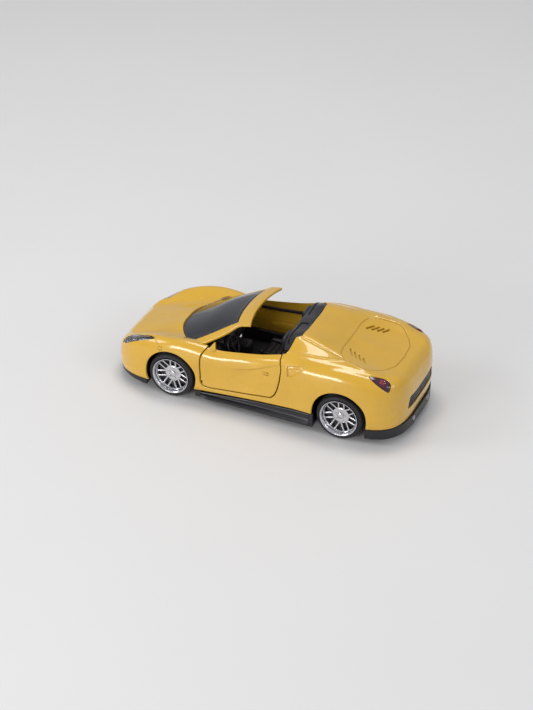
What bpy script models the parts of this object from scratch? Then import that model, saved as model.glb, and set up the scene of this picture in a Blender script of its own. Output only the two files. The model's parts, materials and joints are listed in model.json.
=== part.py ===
"""A die-cast pull-back toy car: an open two-seater with opening doors and a clockwork rear axle.

Frame: +X is forward, +Y is the car's left, +Z is up. The origin is on the ground under the middle
of the car. Lengths are written in millimetres and turned into metres by MM when a shape is made.
"""

import math

import bmesh
import bpy
import numpy as np
from mathutils import Matrix, Vector

MM = 0.001

# Driving dimensions, in mm.
LENGTH = 128.6
WHEELBASE = 73.6
FRONT_AXLE_X = 34.5
REAR_AXLE_X = FRONT_AXLE_X - WHEELBASE
TYRE_RADIUS = 9.75
AXLE_RADIUS = 0.9
AXLE_HOLE_RADIUS = 1.0
SKIN = 1.0
PANEL_GAP = 0.4
FIT_GAP = 0.3
FRONT_ARCH_RADIUS = 11.0
REAR_ARCH_RADIUS = 11.4
ARCH_Z = TYRE_RADIUS + 0.4

# The body's outline at each end closes like a superellipse: (start x, tip x, exponent) in plan,
# and (depth, exponent, tip height) in side view.
NOSE_PLAN = (44.0, LENGTH / 2, 3.2)
NOSE_SIDE = (6.5, 2.2, 8.0)
TAIL_PLAN = (-44.0, -LENGTH / 2, 3.2)
TAIL_SIDE = (5.5, 2.4, 17.0)

# Body sections, front to rear: x, height on the centreline, then (y, z) of the lines that run
# along one side: bonnet, valley, crest, shoulder, upper side, waist, lower side, sill.
SECTIONS = [
    (63.5, 15.6, (7.5, 15.5), (13.2, 15.2), (17.6, 15.0), (20.6, 13.9),
     (21.9, 11.9), (22.4, 9.8), (22.2, 7.4), (21.3, 4.6)),
    (57.0, 17.6, (7.7, 17.6), (14.0, 17.7), (18.8, 18.3), (22.0, 17.0),
     (23.4, 14.4), (23.9, 11.8), (23.8, 8.6), (23.2, 5.0)),
    (50.0, 19.7, (8.0, 19.6), (14.3, 19.9), (18.8, 22.2), (22.0, 21.7),
     (24.0, 18.2), (24.9, 14.5), (25.1, 10.0), (24.8, 5.4)),
    (42.0, 22.1, (8.0, 22.0), (15.2, 22.0), (20.5, 24.8), (23.4, 24.0),
     (25.5, 20.2), (26.2, 15.8), (26.2, 10.8), (25.9, 5.8)),
    (34.5, 24.0, (8.0, 23.8), (16.2, 23.5), (21.6, 26.0), (24.2, 25.0),
     (25.9, 21.2), (26.4, 16.5), (26.3, 11.0), (25.9, 6.0)),
    (26.0, 25.7, (8.0, 25.5), (16.8, 25.0), (21.8, 26.1), (24.0, 24.9),
     (25.5, 21.5), (25.8, 17.0), (25.5, 11.5), (25.4, 6.3)),
    (16.0, 27.4, (8.0, 27.2), (16.8, 26.4), (21.5, 25.1), (23.6, 24.0),
     (25.1, 21.0), (25.2, 17.0), (25.1, 12.0), (25.2, 6.6)),
    (5.0, 30.0, (8.0, 29.8), (16.8, 28.4), (21.4, 26.3), (23.4, 25.1),
     (24.9, 21.6), (24.8, 17.2), (25.1, 12.0), (25.3, 6.8)),
    (-5.0, 33.0, (8.0, 32.8), (16.4, 31.3), (21.4, 28.1), (23.5, 26.8),
     (25.2, 23.2), (25.3, 18.0), (25.5, 12.3), (25.6, 6.8)),
    (-13.0, 35.2, (8.0, 35.1), (15.2, 34.3), (21.3, 30.3), (23.8, 28.9),
     (25.8, 25.1), (26.1, 19.3), (26.1, 12.8), (26.1, 6.8)),
    (-20.0, 35.4, (8.0, 35.4), (14.8, 34.9), (21.0, 31.7), (24.0, 30.1),
     (26.3, 26.0), (26.8, 20.0), (26.7, 13.0), (26.5, 6.8)),
    (-30.0, 33.2, (8.0, 33.2), (15.6, 33.2), (20.8, 31.7), (24.2, 30.2),
     (26.8, 26.2), (27.3, 20.5), (27.1, 13.5), (26.9, 7.0)),
    (-39.0, 30.8, (8.0, 30.5), (15.9, 31.2), (20.8, 31.2), (24.3, 29.9),
     (26.8, 26.0), (27.3, 20.5), (27.1, 13.5), (26.9, 7.0)),
    (-48.0, 28.9, (8.0, 28.8), (15.2, 29.3), (20.4, 29.9), (23.9, 28.6),
     (26.3, 24.8), (26.9, 19.8), (26.7, 13.5), (26.3, 7.4)),
    (-57.0, 27.8, (8.0, 27.8), (14.8, 28.0), (20.0, 28.1), (23.4, 26.9),
     (25.6, 23.4), (26.4, 18.8), (26.2, 13.5), (25.8, 7.8)),
    (-63.5, 27.0, (8.0, 27.0), (14.8, 27.0), (20.0, 26.8), (23.2, 25.4),
     (25.2, 22.2), (25.8, 18.0), (25.6, 13.5), (25.2, 8.2)),
]
UNDERSIDE = [(15.0, 3.0), (0.0, 3.0)]
# Steps along the middle, along each end, and round one side.
BODY_STEPS = (15, 6, 21)
HOLLOW_STEPS = (9, 5, 11)
# Girth at each line, as a share of the way round the section.
GIRTH = [0.0, 8.0, 15.5, 21.0, 24.2, 28.4, 33.4, 40.0, 46.0, 57.0, 72.0]


# ---------------------------------------------------------------- helpers


def clear_scene():
    for obj in list(bpy.data.objects):
        bpy.data.objects.remove(obj)


def make_collection(name):
    found = bpy.data.collections.new(name)
    bpy.context.scene.collection.children.link(found)
    return found


def make_material(name, colour, roughness, metallic=0.0, alpha=1.0):
    material = bpy.data.materials.new(name)
    material.use_nodes = True
    shader = material.node_tree.nodes["Principled BSDF"]
    shader.inputs["Base Color"].default_value = (*colour, 1.0)
    shader.inputs["Roughness"].default_value = roughness
    shader.inputs["Metallic"].default_value = metallic
    shader.inputs["Alpha"].default_value = alpha
    return material


def natural_spline(knots, values, at):
    """Values of the natural cubic spline through (knots, values), for a table of values."""
    knots = np.asarray(knots, float)
    values = np.asarray(values, float).reshape(len(knots), -1)
    count = len(knots)
    step = np.diff(knots)
    matrix = np.eye(count)
    rhs = np.zeros_like(values)
    for i in range(1, count - 1):
        matrix[i, i - 1 : i + 2] = step[i - 1], 2 * (step[i - 1] + step[i]), step[i]
        rhs[i] = 6 * ((values[i + 1] - values[i]) / step[i] - (values[i] - values[i - 1]) / step[i - 1])
    bend = np.linalg.solve(matrix, rhs)
    at = np.clip(np.asarray(at, float), knots[0], knots[-1])
    i = np.clip(np.searchsorted(knots, at, side="right") - 1, 0, count - 2)
    h, a, b = step[i][:, None], (knots[i + 1] - at)[:, None], (at - knots[i])[:, None]
    cubic = (bend[i] * a**3 + bend[i + 1] * b**3) / (6 * h)
    return cubic + (values[i] / h - bend[i] * h / 6) * a + (values[i + 1] / h - bend[i + 1] * h / 6) * b


def finish_object(obj, collection, material=None, smooth_deg=35):
    collection.objects.link(obj)
    if material is not None:
        obj.data.materials.clear()
        obj.data.materials.append(material)
    if smooth_deg and obj.type == "MESH":
        obj.data.shade_smooth()
        obj.data.set_sharp_from_angle(angle=math.radians(smooth_deg))
    return obj


def mesh_object(name, points, faces, collection, material=None):
    bm = bmesh.new()
    verts = [bm.verts.new(Vector(p) * MM) for p in points]
    for face in faces:
        bm.faces.new([verts[k] for k in face])
    return from_bmesh(name, bm, collection, material)


def from_bmesh(name, bm, collection, material=None):
    mesh = bpy.data.meshes.new(name)
    bmesh.ops.recalc_face_normals(bm, faces=bm.faces)
    if bm.calc_volume(signed=True) < 0:
        bmesh.ops.reverse_faces(bm, faces=bm.faces)
    bm.to_mesh(mesh)
    bm.free()
    return finish_object(bpy.data.objects.new(name, mesh), collection, material)


def box(name, low, high, collection, material=None, bevel=0.0):
    """A box between two corners in mm, with its edges rounded by bevel."""
    low, high = Vector(low) * MM, Vector(high) * MM
    bm = bmesh.new()
    size = Matrix.Diagonal((*(high - low), 1.0))
    bmesh.ops.create_cube(bm, size=1.0, matrix=Matrix.Translation((low + high) / 2) @ size)
    obj = from_bmesh(name, bm, collection, material)
    if bevel:
        rounding = obj.modifiers.new("rounding", "BEVEL")
        rounding.width = bevel * MM
        rounding.segments = 2
        bake(obj)
    return obj


AXIS_TURN = {
    "x": Matrix.Rotation(math.pi / 2, 4, "Y"), "y": Matrix.Rotation(-math.pi / 2, 4, "X"),
    "z": Matrix.Identity(4),
}


def cylinder(
    name, radius, low, high, axis, centre, collection, material=None, segments=20, top_radius=None
):
    """A cylinder along axis from low to high; centre holds its other two coordinates, in X, Y, Z order."""
    middle = (low + high) / 2
    where = {"x": (middle, *centre), "y": (centre[0], middle, centre[1]), "z": (*centre, middle)}[axis]
    bm = bmesh.new()
    bmesh.ops.create_cone(
        bm,
        cap_ends=True,
        segments=segments,
        radius1=radius * MM,
        radius2=(radius if top_radius is None else top_radius) * MM,
        depth=(high - low) * MM,
        matrix=Matrix.Translation(Vector(where) * MM) @ AXIS_TURN[axis],
    )
    return from_bmesh(name, bm, collection, material)


PLANE_TURN = {
    "z": Matrix.Identity(4),
    "y": Matrix(((1, 0, 0, 0), (0, 0, -1, 0), (0, 1, 0, 0), (0, 0, 0, 1))),
    "x": Matrix(((0, 0, 1, 0), (1, 0, 0, 0), (0, 1, 0, 0), (0, 0, 0, 1))),
}


def prism(name, outline, axis, low, high, collection, material=None, holes=()):
    """A flat outline, with any holes, in the other two axes (X, Y, Z order), extruded along axis."""
    curve = bpy.data.curves.new(name, "CURVE")
    curve.dimensions = "2D"
    curve.fill_mode = "BOTH"
    curve.extrude = (high - low) / 2 * MM
    for loop in (outline, *holes):
        spline = curve.splines.new("POLY")
        spline.points.add(len(loop) - 1)
        for point, (a, b) in zip(spline.points, loop):
            point.co = (a * MM, b * MM, 0.0, 1.0)
        spline.use_cyclic_u = True
    guide = bpy.data.objects.new(name, curve)
    bpy.context.scene.collection.objects.link(guide)
    middle = {
        "x": Vector((1, 0, 0)), "y": Vector((0, 1, 0)), "z": Vector((0, 0, 1)),
    }[axis] * (low + high) / 2 * MM
    bpy.context.view_layer.update()
    mesh = bpy.data.meshes.new_from_object(guide.evaluated_get(bpy.context.evaluated_depsgraph_get()))
    mesh.transform(Matrix.Translation(middle) @ PLANE_TURN[axis])
    bpy.data.objects.remove(guide)
    bm = bmesh.new()
    bm.from_mesh(mesh)
    bpy.data.meshes.remove(mesh)
    bmesh.ops.remove_doubles(bm, verts=bm.verts, dist=0.001 * MM)
    return from_bmesh(name, bm, collection, material)


def turned(name, profile, centre, axis, collection, material=None, segments=32):
    """A solid turned round an axis through centre.

    The profile holds (radius, distance) and is closed, or runs from the axis back to it.
    """
    mesh = bpy.data.meshes.new(name)
    edges = [(i, i + 1) for i in range(len(profile) - 1)]
    if profile[0][0] > 0:
        edges.append((len(profile) - 1, 0))
    mesh.from_pydata([(r * MM, 0.0, h * MM) for r, h in profile], edges, [])
    obj = bpy.data.objects.new(name, mesh)
    bpy.context.scene.collection.objects.link(obj)
    screw = obj.modifiers.new("turn", "SCREW")
    screw.steps = segments
    screw.render_steps = segments
    screw.use_merge_vertices = True
    screw.merge_threshold = 0.0005 * MM
    bake(obj)
    bm = bmesh.new()
    bm.from_mesh(obj.data)
    bpy.data.objects.remove(obj)
    bm.transform(Matrix.Translation(Vector(centre) * MM) @ AXIS_TURN[axis])
    return from_bmesh(name, bm, collection, material)


def bake(obj):
    """Applies the object's modifiers."""
    bpy.context.view_layer.update()
    graph = bpy.context.evaluated_depsgraph_get()
    mesh = bpy.data.meshes.new_from_object(obj.evaluated_get(graph))
    obj.modifiers.clear()
    obj.data = mesh
    return obj


# EXACT loses the thin shell when the windscreen frame joins it. Every mesh here is closed, as MANIFOLD needs.
SOLVER = "MANIFOLD"
FLAT_DEG = 0.05


def merge_flat_faces(obj):
    """Joins the triangles that lie in one plane, which booleans and curve caps leave behind."""
    bm = bmesh.new()
    bm.from_mesh(obj.data)
    bmesh.ops.dissolve_limit(bm, angle_limit=math.radians(FLAT_DEG), verts=bm.verts, edges=bm.edges)
    bm.to_mesh(obj.data)
    bm.free()


def combine(obj, others, operation="DIFFERENCE"):
    """Cuts others from obj, joins them to it, or keeps what they share, and hides them."""
    for other in others:
        modifier = obj.modifiers.new(operation.lower(), "BOOLEAN")
        modifier.operation = operation
        modifier.solver = SOLVER
        modifier.object = other
        bake(obj)
        other.hide_render = True
        other.hide_viewport = False
        other.display_type = "WIRE"
    merge_flat_faces(obj)
    return obj


def copy_of(obj, name, collection, material=None):
    return finish_object(bpy.data.objects.new(name, obj.data.copy()), collection, material)


def mirror_across(obj):
    """Turns a part into the one for the car's other side."""
    obj.data.transform(Matrix.Diagonal((1, -1, 1, 1)))
    obj.data.flip_normals()


def both_sides(outline):
    """An outline in X and Y, mirrored to the other side."""
    return [(x, -y) for x, y in outline]


# ---------------------------------------------------------------- body surface


def closing(x, start, tip, power):
    """How far a superellipse has closed at x: 1 at its start, 0 at its tip."""
    share = min(max((x - start) / (tip - start), 0.0), 1.0)
    return (1.0 - share**power) ** (1.0 / power)


def body_stations(middle, end):
    """X positions from nose to tail, closing up towards both tips."""
    nose_start, nose_tip = NOSE_PLAN[:2]
    tail_start, tail_tip = TAIL_PLAN[:2]
    nose = [nose_start + (nose_tip - nose_start) * math.cos(0.5 * math.pi * i / end) for i in range(end)]
    tail = [
        tail_start + (tail_tip - tail_start) * math.sin(0.5 * math.pi * (i + 1) / end)
        for i in range(end)
    ]
    return nose + list(np.linspace(nose_start, tail_start, middle)) + tail


def body_grid(middle, end, rows):
    """One side of the body's skin: a grid of points, nose to tail and centreline to underside."""
    table = np.array([[(0.0, s[1]), *s[2:], *UNDERSIDE] for s in SECTIONS[::-1]], float)
    knots = [s[0] for s in SECTIONS[::-1]]
    stations = body_stations(middle, end)
    lines = natural_spline(knots, table.reshape(len(knots), -1), stations).reshape(len(stations), -1, 2)
    girths = np.interp(np.linspace(0, 1, rows), np.linspace(0, 1, len(GIRTH)), GIRTH)
    grid = np.zeros((len(stations), rows, 3))
    for i, x in enumerate(stations):
        points = natural_spline(GIRTH, lines[i], girths)
        points[:, 0] = np.maximum(points[:, 0], 0.0)
        points[:, 1] = np.maximum(points[:, 1], UNDERSIDE[0][1])
        plan = closing(x, *NOSE_PLAN) * closing(-x, -TAIL_PLAN[0], -TAIL_PLAN[1], TAIL_PLAN[2])
        nose = closing(x, NOSE_PLAN[1] - NOSE_SIDE[0], NOSE_PLAN[1], NOSE_SIDE[1])
        tail = closing(-x, -TAIL_PLAN[1] - TAIL_SIDE[0], -TAIL_PLAN[1], TAIL_SIDE[1])
        height = NOSE_SIDE[2] if x > 0 else TAIL_SIDE[2]
        grid[i, :, 0] = x
        grid[i, :, 1] = points[:, 0] * plan
        grid[i, :, 2] = height + (points[:, 1] - height) * nose * tail
    return grid


def inset_grid(grid, depth):
    """The grid moved inwards by depth, square to the skin."""
    along = np.gradient(grid, axis=0)
    around = np.gradient(grid, axis=1)
    normal = np.cross(along, around)
    normal[0] = 1e-6, 0.0, 0.0
    normal[-1] = -1e-6, 0.0, 0.0
    normal[:, 0, 1] = 0.0
    normal[:, -1, 1] = 0.0
    normal /= np.maximum(np.linalg.norm(normal, axis=2, keepdims=True), 1e-9)
    outward = np.where(normal[len(grid) // 2, 0, 2] > 0, 1.0, -1.0)
    normal[1:-1] *= outward
    moved = grid - depth * normal
    moved[:, :, 1] = np.maximum(moved[:, :, 1], 0.0)
    moved[:, 0, 1] = 0.0
    moved[:, -1, 1] = 0.0
    return moved


def body_solid(name, collection, depth=0.0, steps=BODY_STEPS, open_below=False):
    """The body's whole outline as one closed solid, moved inwards by depth."""
    rows = steps[2]
    grid = body_grid(*steps)
    if depth:
        grid = inset_grid(grid, depth)
    if open_below:
        low = rows * 8 // 10
        grid[:, low:, 2] = -4.0
        grid[:, low:, 1] = grid[:, low - 1 : low, 1] * np.linspace(1, 0, rows - low)[None, :]
    points = []
    index = {}
    for side in (1, -1):
        for i in range(1, len(grid) - 1):
            for j in range(rows):
                middle_line = j in (0, rows - 1)
                if side < 0 and middle_line:
                    index[side, i, j] = index[1, i, j]
                    continue
                index[side, i, j] = len(points)
                points.append((grid[i, j, 0], side * grid[i, j, 1], grid[i, j, 2]))
    tips = []
    for i in (0, len(grid) - 1):
        tips.append(len(points))
        points.append((grid[i, 0, 0], 0.0, float(np.mean(grid[i, :, 2]))))
    faces = []
    last = len(grid) - 2
    for side in (1, -1):
        for j in range(rows - 1):
            for i in range(1, last):
                quad = [
                    index[side, i, j], index[side, i, j + 1], index[side, i + 1, j + 1],
                    index[side, i + 1, j],
                ]
                faces.append(quad if side > 0 else quad[::-1])
            front = [tips[0], index[side, 1, j + 1], index[side, 1, j]]
            back = [tips[1], index[side, last, j], index[side, last, j + 1]]
            faces.append(front if side > 0 else front[::-1])
            faces.append(back if side > 0 else back[::-1])
    bm = bmesh.new()
    verts = [bm.verts.new(Vector(p) * MM) for p in points]
    for face in faces:
        bm.faces.new([verts[k] for k in face])
    return from_bmesh(name, bm, collection)


# ---------------------------------------------------------------- the windscreen

# Edges of the windscreen, from its foot to the back of its top rail: (x, z) on the centreline,
# then (x, y, z) at the outer edge of the pillar.
SCREEN_LINES = [
    ((40.6, 21.6), (28.4, 21.9, 22.9)),
    ((35.4, 24.4), (22.6, 21.3, 25.8)),
    ((28.2, 28.4), (16.6, 19.7, 29.2)),
    ((20.8, 32.2), (11.8, 18.0, 32.4)),
    ((11.0, 35.7), (8.8, 16.6, 35.0)),
    ((8.4, 36.6), (5.8, 16.2, 36.0)),
    ((5.6, 37.0), (3.2, 16.0, 36.5)),
]
PILLAR_SHARE = 0.86
SCREEN_BOW = 2.3


def screen_grid(depth, heights, across):
    """The windscreen's surface at these shares of its height and half width, moved inwards by depth."""
    knots = np.linspace(0, 1, len(SCREEN_LINES))
    table = [(*centre, *edge) for centre, edge in SCREEN_LINES]
    lines = natural_spline(knots, table, heights)
    rows, half = len(heights), len(across) // 2
    grid = np.zeros((rows, len(across), 3))
    for i, (centre_x, centre_z, edge_x, edge_y, edge_z) in enumerate(lines):
        bow = np.abs(across) ** SCREEN_BOW
        grid[i, :, 0] = centre_x + (edge_x - centre_x) * bow
        grid[i, :, 1] = edge_y * across
        grid[i, :, 2] = centre_z + (edge_z - centre_z) * bow
    normal = np.cross(np.gradient(grid, axis=0), np.gradient(grid, axis=1))
    normal /= np.linalg.norm(normal, axis=2, keepdims=True)
    if normal[rows // 2, half, 2] < 0:
        normal = -normal
    return grid - depth * normal


def plate(name, outer, inner, keep, collection, material=None):
    """A closed plate between two grids, made of the cells that keep(i, j) allows."""
    rows, columns = outer.shape[:2]
    points = [tuple(p) for p in outer.reshape(-1, 3)] + [tuple(p) for p in inner.reshape(-1, 3)]
    shift = rows * columns
    cells = {(i, j) for i in range(rows - 1) for j in range(columns - 1) if keep(i, j)}
    faces = []
    for i, j in cells:
        a, b, c, d = i * columns + j, i * columns + j + 1, (
            i + 1
        ) * columns + j + 1, (i + 1) * columns + j
        faces.append((a, b, c, d))
        faces.append((d + shift, c + shift, b + shift, a + shift))
        for near, edge in (
            ((i - 1, j), (a, b)), ((i, j + 1), (b, c)), ((i + 1, j), (c, d)), ((i, j - 1), (d, a)),
        ):
            if near not in cells:
                faces.append((edge[1], edge[0], edge[0] + shift, edge[1] + shift))
    used = sorted({k for face in faces for k in face})
    place = {k: n for n, k in enumerate(used)}
    bm = bmesh.new()
    verts = [bm.verts.new(Vector(points[k]) * MM) for k in used]
    for face in faces:
        bm.faces.new([verts[place[k]] for k in face])
    return from_bmesh(name, bm, collection, material)


# ---------------------------------------------------------------- gears


def gear_outline(teeth, module, turn=0.0, backlash=0.12, addendum=0.7, dedendum=0.95, pressure_deg=25.0):
    """A stub-tooth involute gear in its own plane, with one tooth on the angle turn."""
    pitch = module * teeth / 2
    pressure = math.radians(pressure_deg)
    base = pitch * math.cos(pressure)
    tip = pitch + addendum * module
    root = pitch - dedendum * module
    half = math.pi / (2 * teeth) - backlash / (4 * pitch) + math.tan(pressure) - pressure

    def flank(radius):
        angle = math.acos(min(base / radius, 1.0))
        return half - (math.tan(angle) - angle)

    radii = [max(base, root), (max(base, root) + tip) / 2, tip] if teeth < 12 else [max(base, root), tip]
    outline = []
    for tooth in range(teeth):
        middle = turn + 2 * math.pi * tooth / teeth
        points = [(root, -flank(radii[0]))] + [(r, -flank(r)) for r in radii]
        points += [(r, flank(r)) for r in radii[::-1]] + [(root, flank(radii[0]))]
        outline += [(r * math.cos(middle + a), r * math.sin(middle + a)) for r, a in points]
    return outline


def at(centre, outline):
    return [(centre[0] + a, centre[1] + b) for a, b in outline]


def rotated(outline, turn):
    cos, sin = math.cos(turn), math.sin(turn)
    return [(a * cos - b * sin, a * sin + b * cos) for a, b in outline]


def circle(radius, count=24, turn=0.0):
    return [
        (
            radius * math.cos(turn + 2 * math.pi * i / count),
            radius * math.sin(turn + 2 * math.pi * i / count),
        )
        for i in range(count)
    ]


def grow(outline, distance):
    """A closed outline moved outwards by distance, corner by corner."""
    area = sum(a[0] * b[1] - b[0] * a[1] for a, b in zip(outline, outline[1:] + outline[:1]))
    way = distance if area > 0 else -distance
    moved = []
    for before, here, after in zip(outline[-1:] + outline[:-1], outline, outline[1:] + outline[:1]):
        first = Vector((here[1] - before[1], before[0] - here[0])).normalized()
        second = Vector((after[1] - here[1], here[0] - after[0])).normalized()
        bisector = (first + second).normalized()
        reach = way / max(bisector.dot(first), 0.5)
        moved.append((here[0] + bisector.x * reach, here[1] + bisector.y * reach))
    return moved


# ---------------------------------------------------------------- the car

DOOR_FRONT_X = 21.2
DOOR_INNER_Y = 21.7
HINGE = (24.2, 22.8)
DOOR_OUTLINE = [
    (17.6, 8.7),
    (20.2, 9.2),
    (DOOR_FRONT_X, 10.8),
    (DOOR_FRONT_X, 21.8),
    (20.3, 23.9),
    (18.7, 25.6),
    (18.3, 34.0),
    (-12.2, 34.0),
    (-12.6, 29.6),
    (-13.8, 25.0),
    (-13.4, 20.5),
    (-12.5, 16.4),
    (-11.3, 13.2),
    (-9.8, 11.5),
    (0.6, 10.2),
]
COCKPIT_HALF = [
    (-18.2, 0.0),
    (-18.2, 6.0),
    (-17.9, 13.5),
    (-15.8, 14.7),
    (-15.4, 17.6),
    (-14.9, 20.2),
    (-14.0, 21.3),
    (18.2, 21.3),
    (22.0, 20.3),
    (26.4, 17.9),
    (31.0, 14.0),
    (34.2, 8.0),
    (35.6, 0.0),
]
HEADLIGHT = [
    (59.8, 17.0), (57.6, 15.9), (55.0, 15.8), (51.4, 18.6), (48.8, 20.2), (45.0, 21.0), (41.6, 22.9),
    (46.6, 23.1), (51.2, 22.3), (56.4, 20.6), (59.2, 18.6),
]
TAIL_LIGHT = [
    (-49.0, 21.6), (-52.2, 20.2), (-55.6, 19.3), (-58.2, 20.0), (-58.4, 22.2), (-56.4, 23.2),
    (-53.4, 23.4), (-51.0, 22.8),
]
FRONT_GRILLE = [(-14.6, 6.8), (14.6, 6.8), (13.0, 10.8), (-13.0, 10.8)]
REAR_PANEL = [(-14.0, 13.0), (14.0, 13.0), (12.6, 18.2), (-12.6, 18.2)]
SIDE_INTAKE = [(-16.4, 28.0), (-24.2, 29.0), (-21.8, 25.8), (-18.4, 23.4), (-16.6, 23.4)]
DOOR_SCOOP = [
    (12.6, 19.6), (1.0, 20.6), (-3.6, 22.8), (-16.0, 27.2), (-16.0, 22.4), (-8.7, 18.6), (-4.8, 16.5),
    (8.6, 15.4),
]
SILL_LINE = [
    (70.0, 4.9), (45.0, 5.6), (24.0, 6.0), (0.0, 8.0), (-20.0, 9.5), (-28.0, 9.4), (-50.0, 7.3), (-70.0, 8.0),
]
FLOOR_Z = 3.0
FLOOR_TOP = 4.2
EXHAUST = (8.0, 5.7)
SCREWS = [(52.5, 0.0), (-54.0, 0.0)]
MOTOR_BOX = ((-43.0, -8.2, 4.5), (-20.2, 2.4, 20.6))
GEAR_MODULE = 0.5
PINION_TEETH = 8
WHEEL_TEETH = 20
GEAR_SPACING = GEAR_MODULE * (PINION_TEETH + WHEEL_TEETH) / 2 + 0.05
IDLER_TURN = math.radians(35)
DRUM_TURN = math.radians(-20)
LOUVRES = 4
LOUVRE_FRONT_X = -38.0
LOUVRE_PITCH = 2.05
LOUVRE_Y = 11.0
WHEELS = {"front": (FRONT_AXLE_X, 17.9, 25.6), "rear": (REAR_AXLE_X, 18.4, 26.5)}
SPOKE_PAIRS = 7
SPOKE_TURN = math.radians(11)
WHEEL_STEPS = 24

clear_scene()
parts = make_collection("pull_back_car")
tools = make_collection("cutters")

paint = make_material("yellow_paint", (0.72, 0.40, 0.03), 0.28)
black = make_material("black_plastic", (0.018, 0.018, 0.02), 0.55)
dark = make_material("interior_plastic", (0.02, 0.02, 0.022), 0.6)
glass = make_material("tinted_glass", (0.05, 0.06, 0.07), 0.08, alpha=0.45)
lamp = make_material("clear_lamp", (0.75, 0.78, 0.8), 0.1, alpha=0.5)
red_lamp = make_material("red_lamp", (0.25, 0.01, 0.02), 0.15, alpha=0.8)
chrome = make_material("bright_rim", (0.8, 0.8, 0.8), 0.15, metallic=1.0)
rubber = make_material("tyre_rubber", (0.015, 0.015, 0.015), 0.8)
steel = make_material("steel", (0.6, 0.6, 0.6), 0.3, metallic=1.0)
nylon = make_material("white_nylon", (0.75, 0.75, 0.7), 0.45)


def solid_at(depth, name):
    return body_solid(name, tools, depth=depth)


outline = solid_at(0.0, "outline")
hollow = body_solid("hollow", tools, depth=SKIN, steps=HOLLOW_STEPS, open_below=True)
under_skin = solid_at(SKIN - 0.1, "under_skin")
recess_floor = solid_at(0.6, "recess_floor")
below_sill = prism("below_sill", SILL_LINE + [(-70.0, -10.0), (70.0, -10.0)], "y", -40, 40, tools)

body = copy_of(outline, "body_shell", parts, paint)
combine(body, [hollow, below_sill])


def patch(name, shape, material, low=None, high=None, axis="z", shrink=0.25, sink=0.0, thickness=None):
    """A piece that fills an opening in the skin, and the cutter that makes the opening."""
    opening = prism(name + "_opening", shape, axis, low, high, tools)
    piece = prism(name, grow(shape, -shrink), axis, low, high, parts, material)
    combine(piece, [outline if not sink else solid_at(sink, name + "_front")], "INTERSECT")
    combine(piece, [solid_at(thickness, name + "_back") if thickness else under_skin])
    return piece, opening


openings = []
for side, name in ((1, "left"), (-1, "right")):
    shape = HEADLIGHT if side > 0 else both_sides(HEADLIGHT)
    openings.append(patch("headlight_" + name, shape, lamp, 12, 40)[1])
    shape = TAIL_LIGHT if side > 0 else both_sides(TAIL_LIGHT)
    openings.append(patch("tail_light_" + name, shape, red_lamp, 23.5, 40)[1])
openings.append(patch("front_grille", FRONT_GRILLE, black, 45, 70, "x", sink=0.5, thickness=1.6)[1])
openings.append(patch("rear_panel", REAR_PANEL, black, -70, -50, "x", sink=0.5, thickness=1.6)[1])

cockpit_outline = COCKPIT_HALF + both_sides(COCKPIT_HALF[1:-1])[::-1]
openings.append(prism("cockpit_opening", cockpit_outline, "z", 12, 45, tools))
aperture = grow(DOOR_OUTLINE, PANEL_GAP)
for side in (1, -1):
    low, high = sorted((side * 19.5, side * 30.0))
    openings.append(prism("door_opening_" + str(low), aperture, "y", low, high, tools))
for side in (1, -1):
    low, high = sorted((side * 20.0, side * 30.0))
    intake = prism("intake_" + str(low), SIDE_INTAKE, "y", low, high, tools)
    combine(intake, [recess_floor])
    openings.append(intake)
combine(body, openings)
for side in (1, -1):
    for place in range(LOUVRES):
        x = LOUVRE_FRONT_X - LOUVRE_PITCH * place
        low, high = (x - 0.35, side * LOUVRE_Y - 1.9, 20), (x + 0.35, side * LOUVRE_Y + 1.9, 40)
        louvre = box("louvre", low, high, tools)
        combine(body, [louvre])

rail = [0.0, *np.linspace(1 / 12, 1, 12)]
glass_across = np.linspace(-PILLAR_SHARE, PILLAR_SHARE, 15)
frame_across = np.concatenate([[-1, -0.93], glass_across, [0.93, 1]])
frame = plate(
    "screen_frame",
    screen_grid(0.0, rail, frame_across),
    screen_grid(1.1, rail, frame_across),
    lambda i, j: not (1 <= i < 8 and 2 <= j < 16),
    tools,
)
lugs = []
for side in (1, -1):
    for low, high in ((15.2, 16.6), (21.9, 23.3)):
        ends = sorted((side * (HINGE[1] - 1.2), side * (HINGE[1] + 2.0)))
        lug = box("lug", (HINGE[0] - 1.2, ends[0], low), (HINGE[0] + 1.5, ends[1], high), tools)
        combine(lug, [outline], "INTERSECT")
        lugs.append(lug)
posts = [cylinder("post", 2.2, 5.4, 34, "z", spot, tools, segments=16) for spot in SCREWS]
for post in posts:
    combine(post, [outline], "INTERSECT")
combine(body, [frame, *lugs, *posts], "UNION")

arches = []
for axle, (x, low, high) in WHEELS.items():
    radius = FRONT_ARCH_RADIUS if axle == "front" else REAR_ARCH_RADIUS
    for side in (1, -1):
        ends = sorted((side * 15.0, side * 32.0))
        arches.append(cylinder("arch", radius, *ends, "y", (x, ARCH_Z), tools, segments=48))
pilots = [cylinder("pilot", 0.85, 4, 12, "z", spot, tools, segments=12) for spot in SCREWS]
pin_holes = [
    cylinder("pin_hole", 0.6, 14.0, 22.9, "z", (HINGE[0], s * HINGE[1]), tools, segments=12)
    for s in (1, -1)
]
combine(body, arches + pilots + pin_holes)

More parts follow.
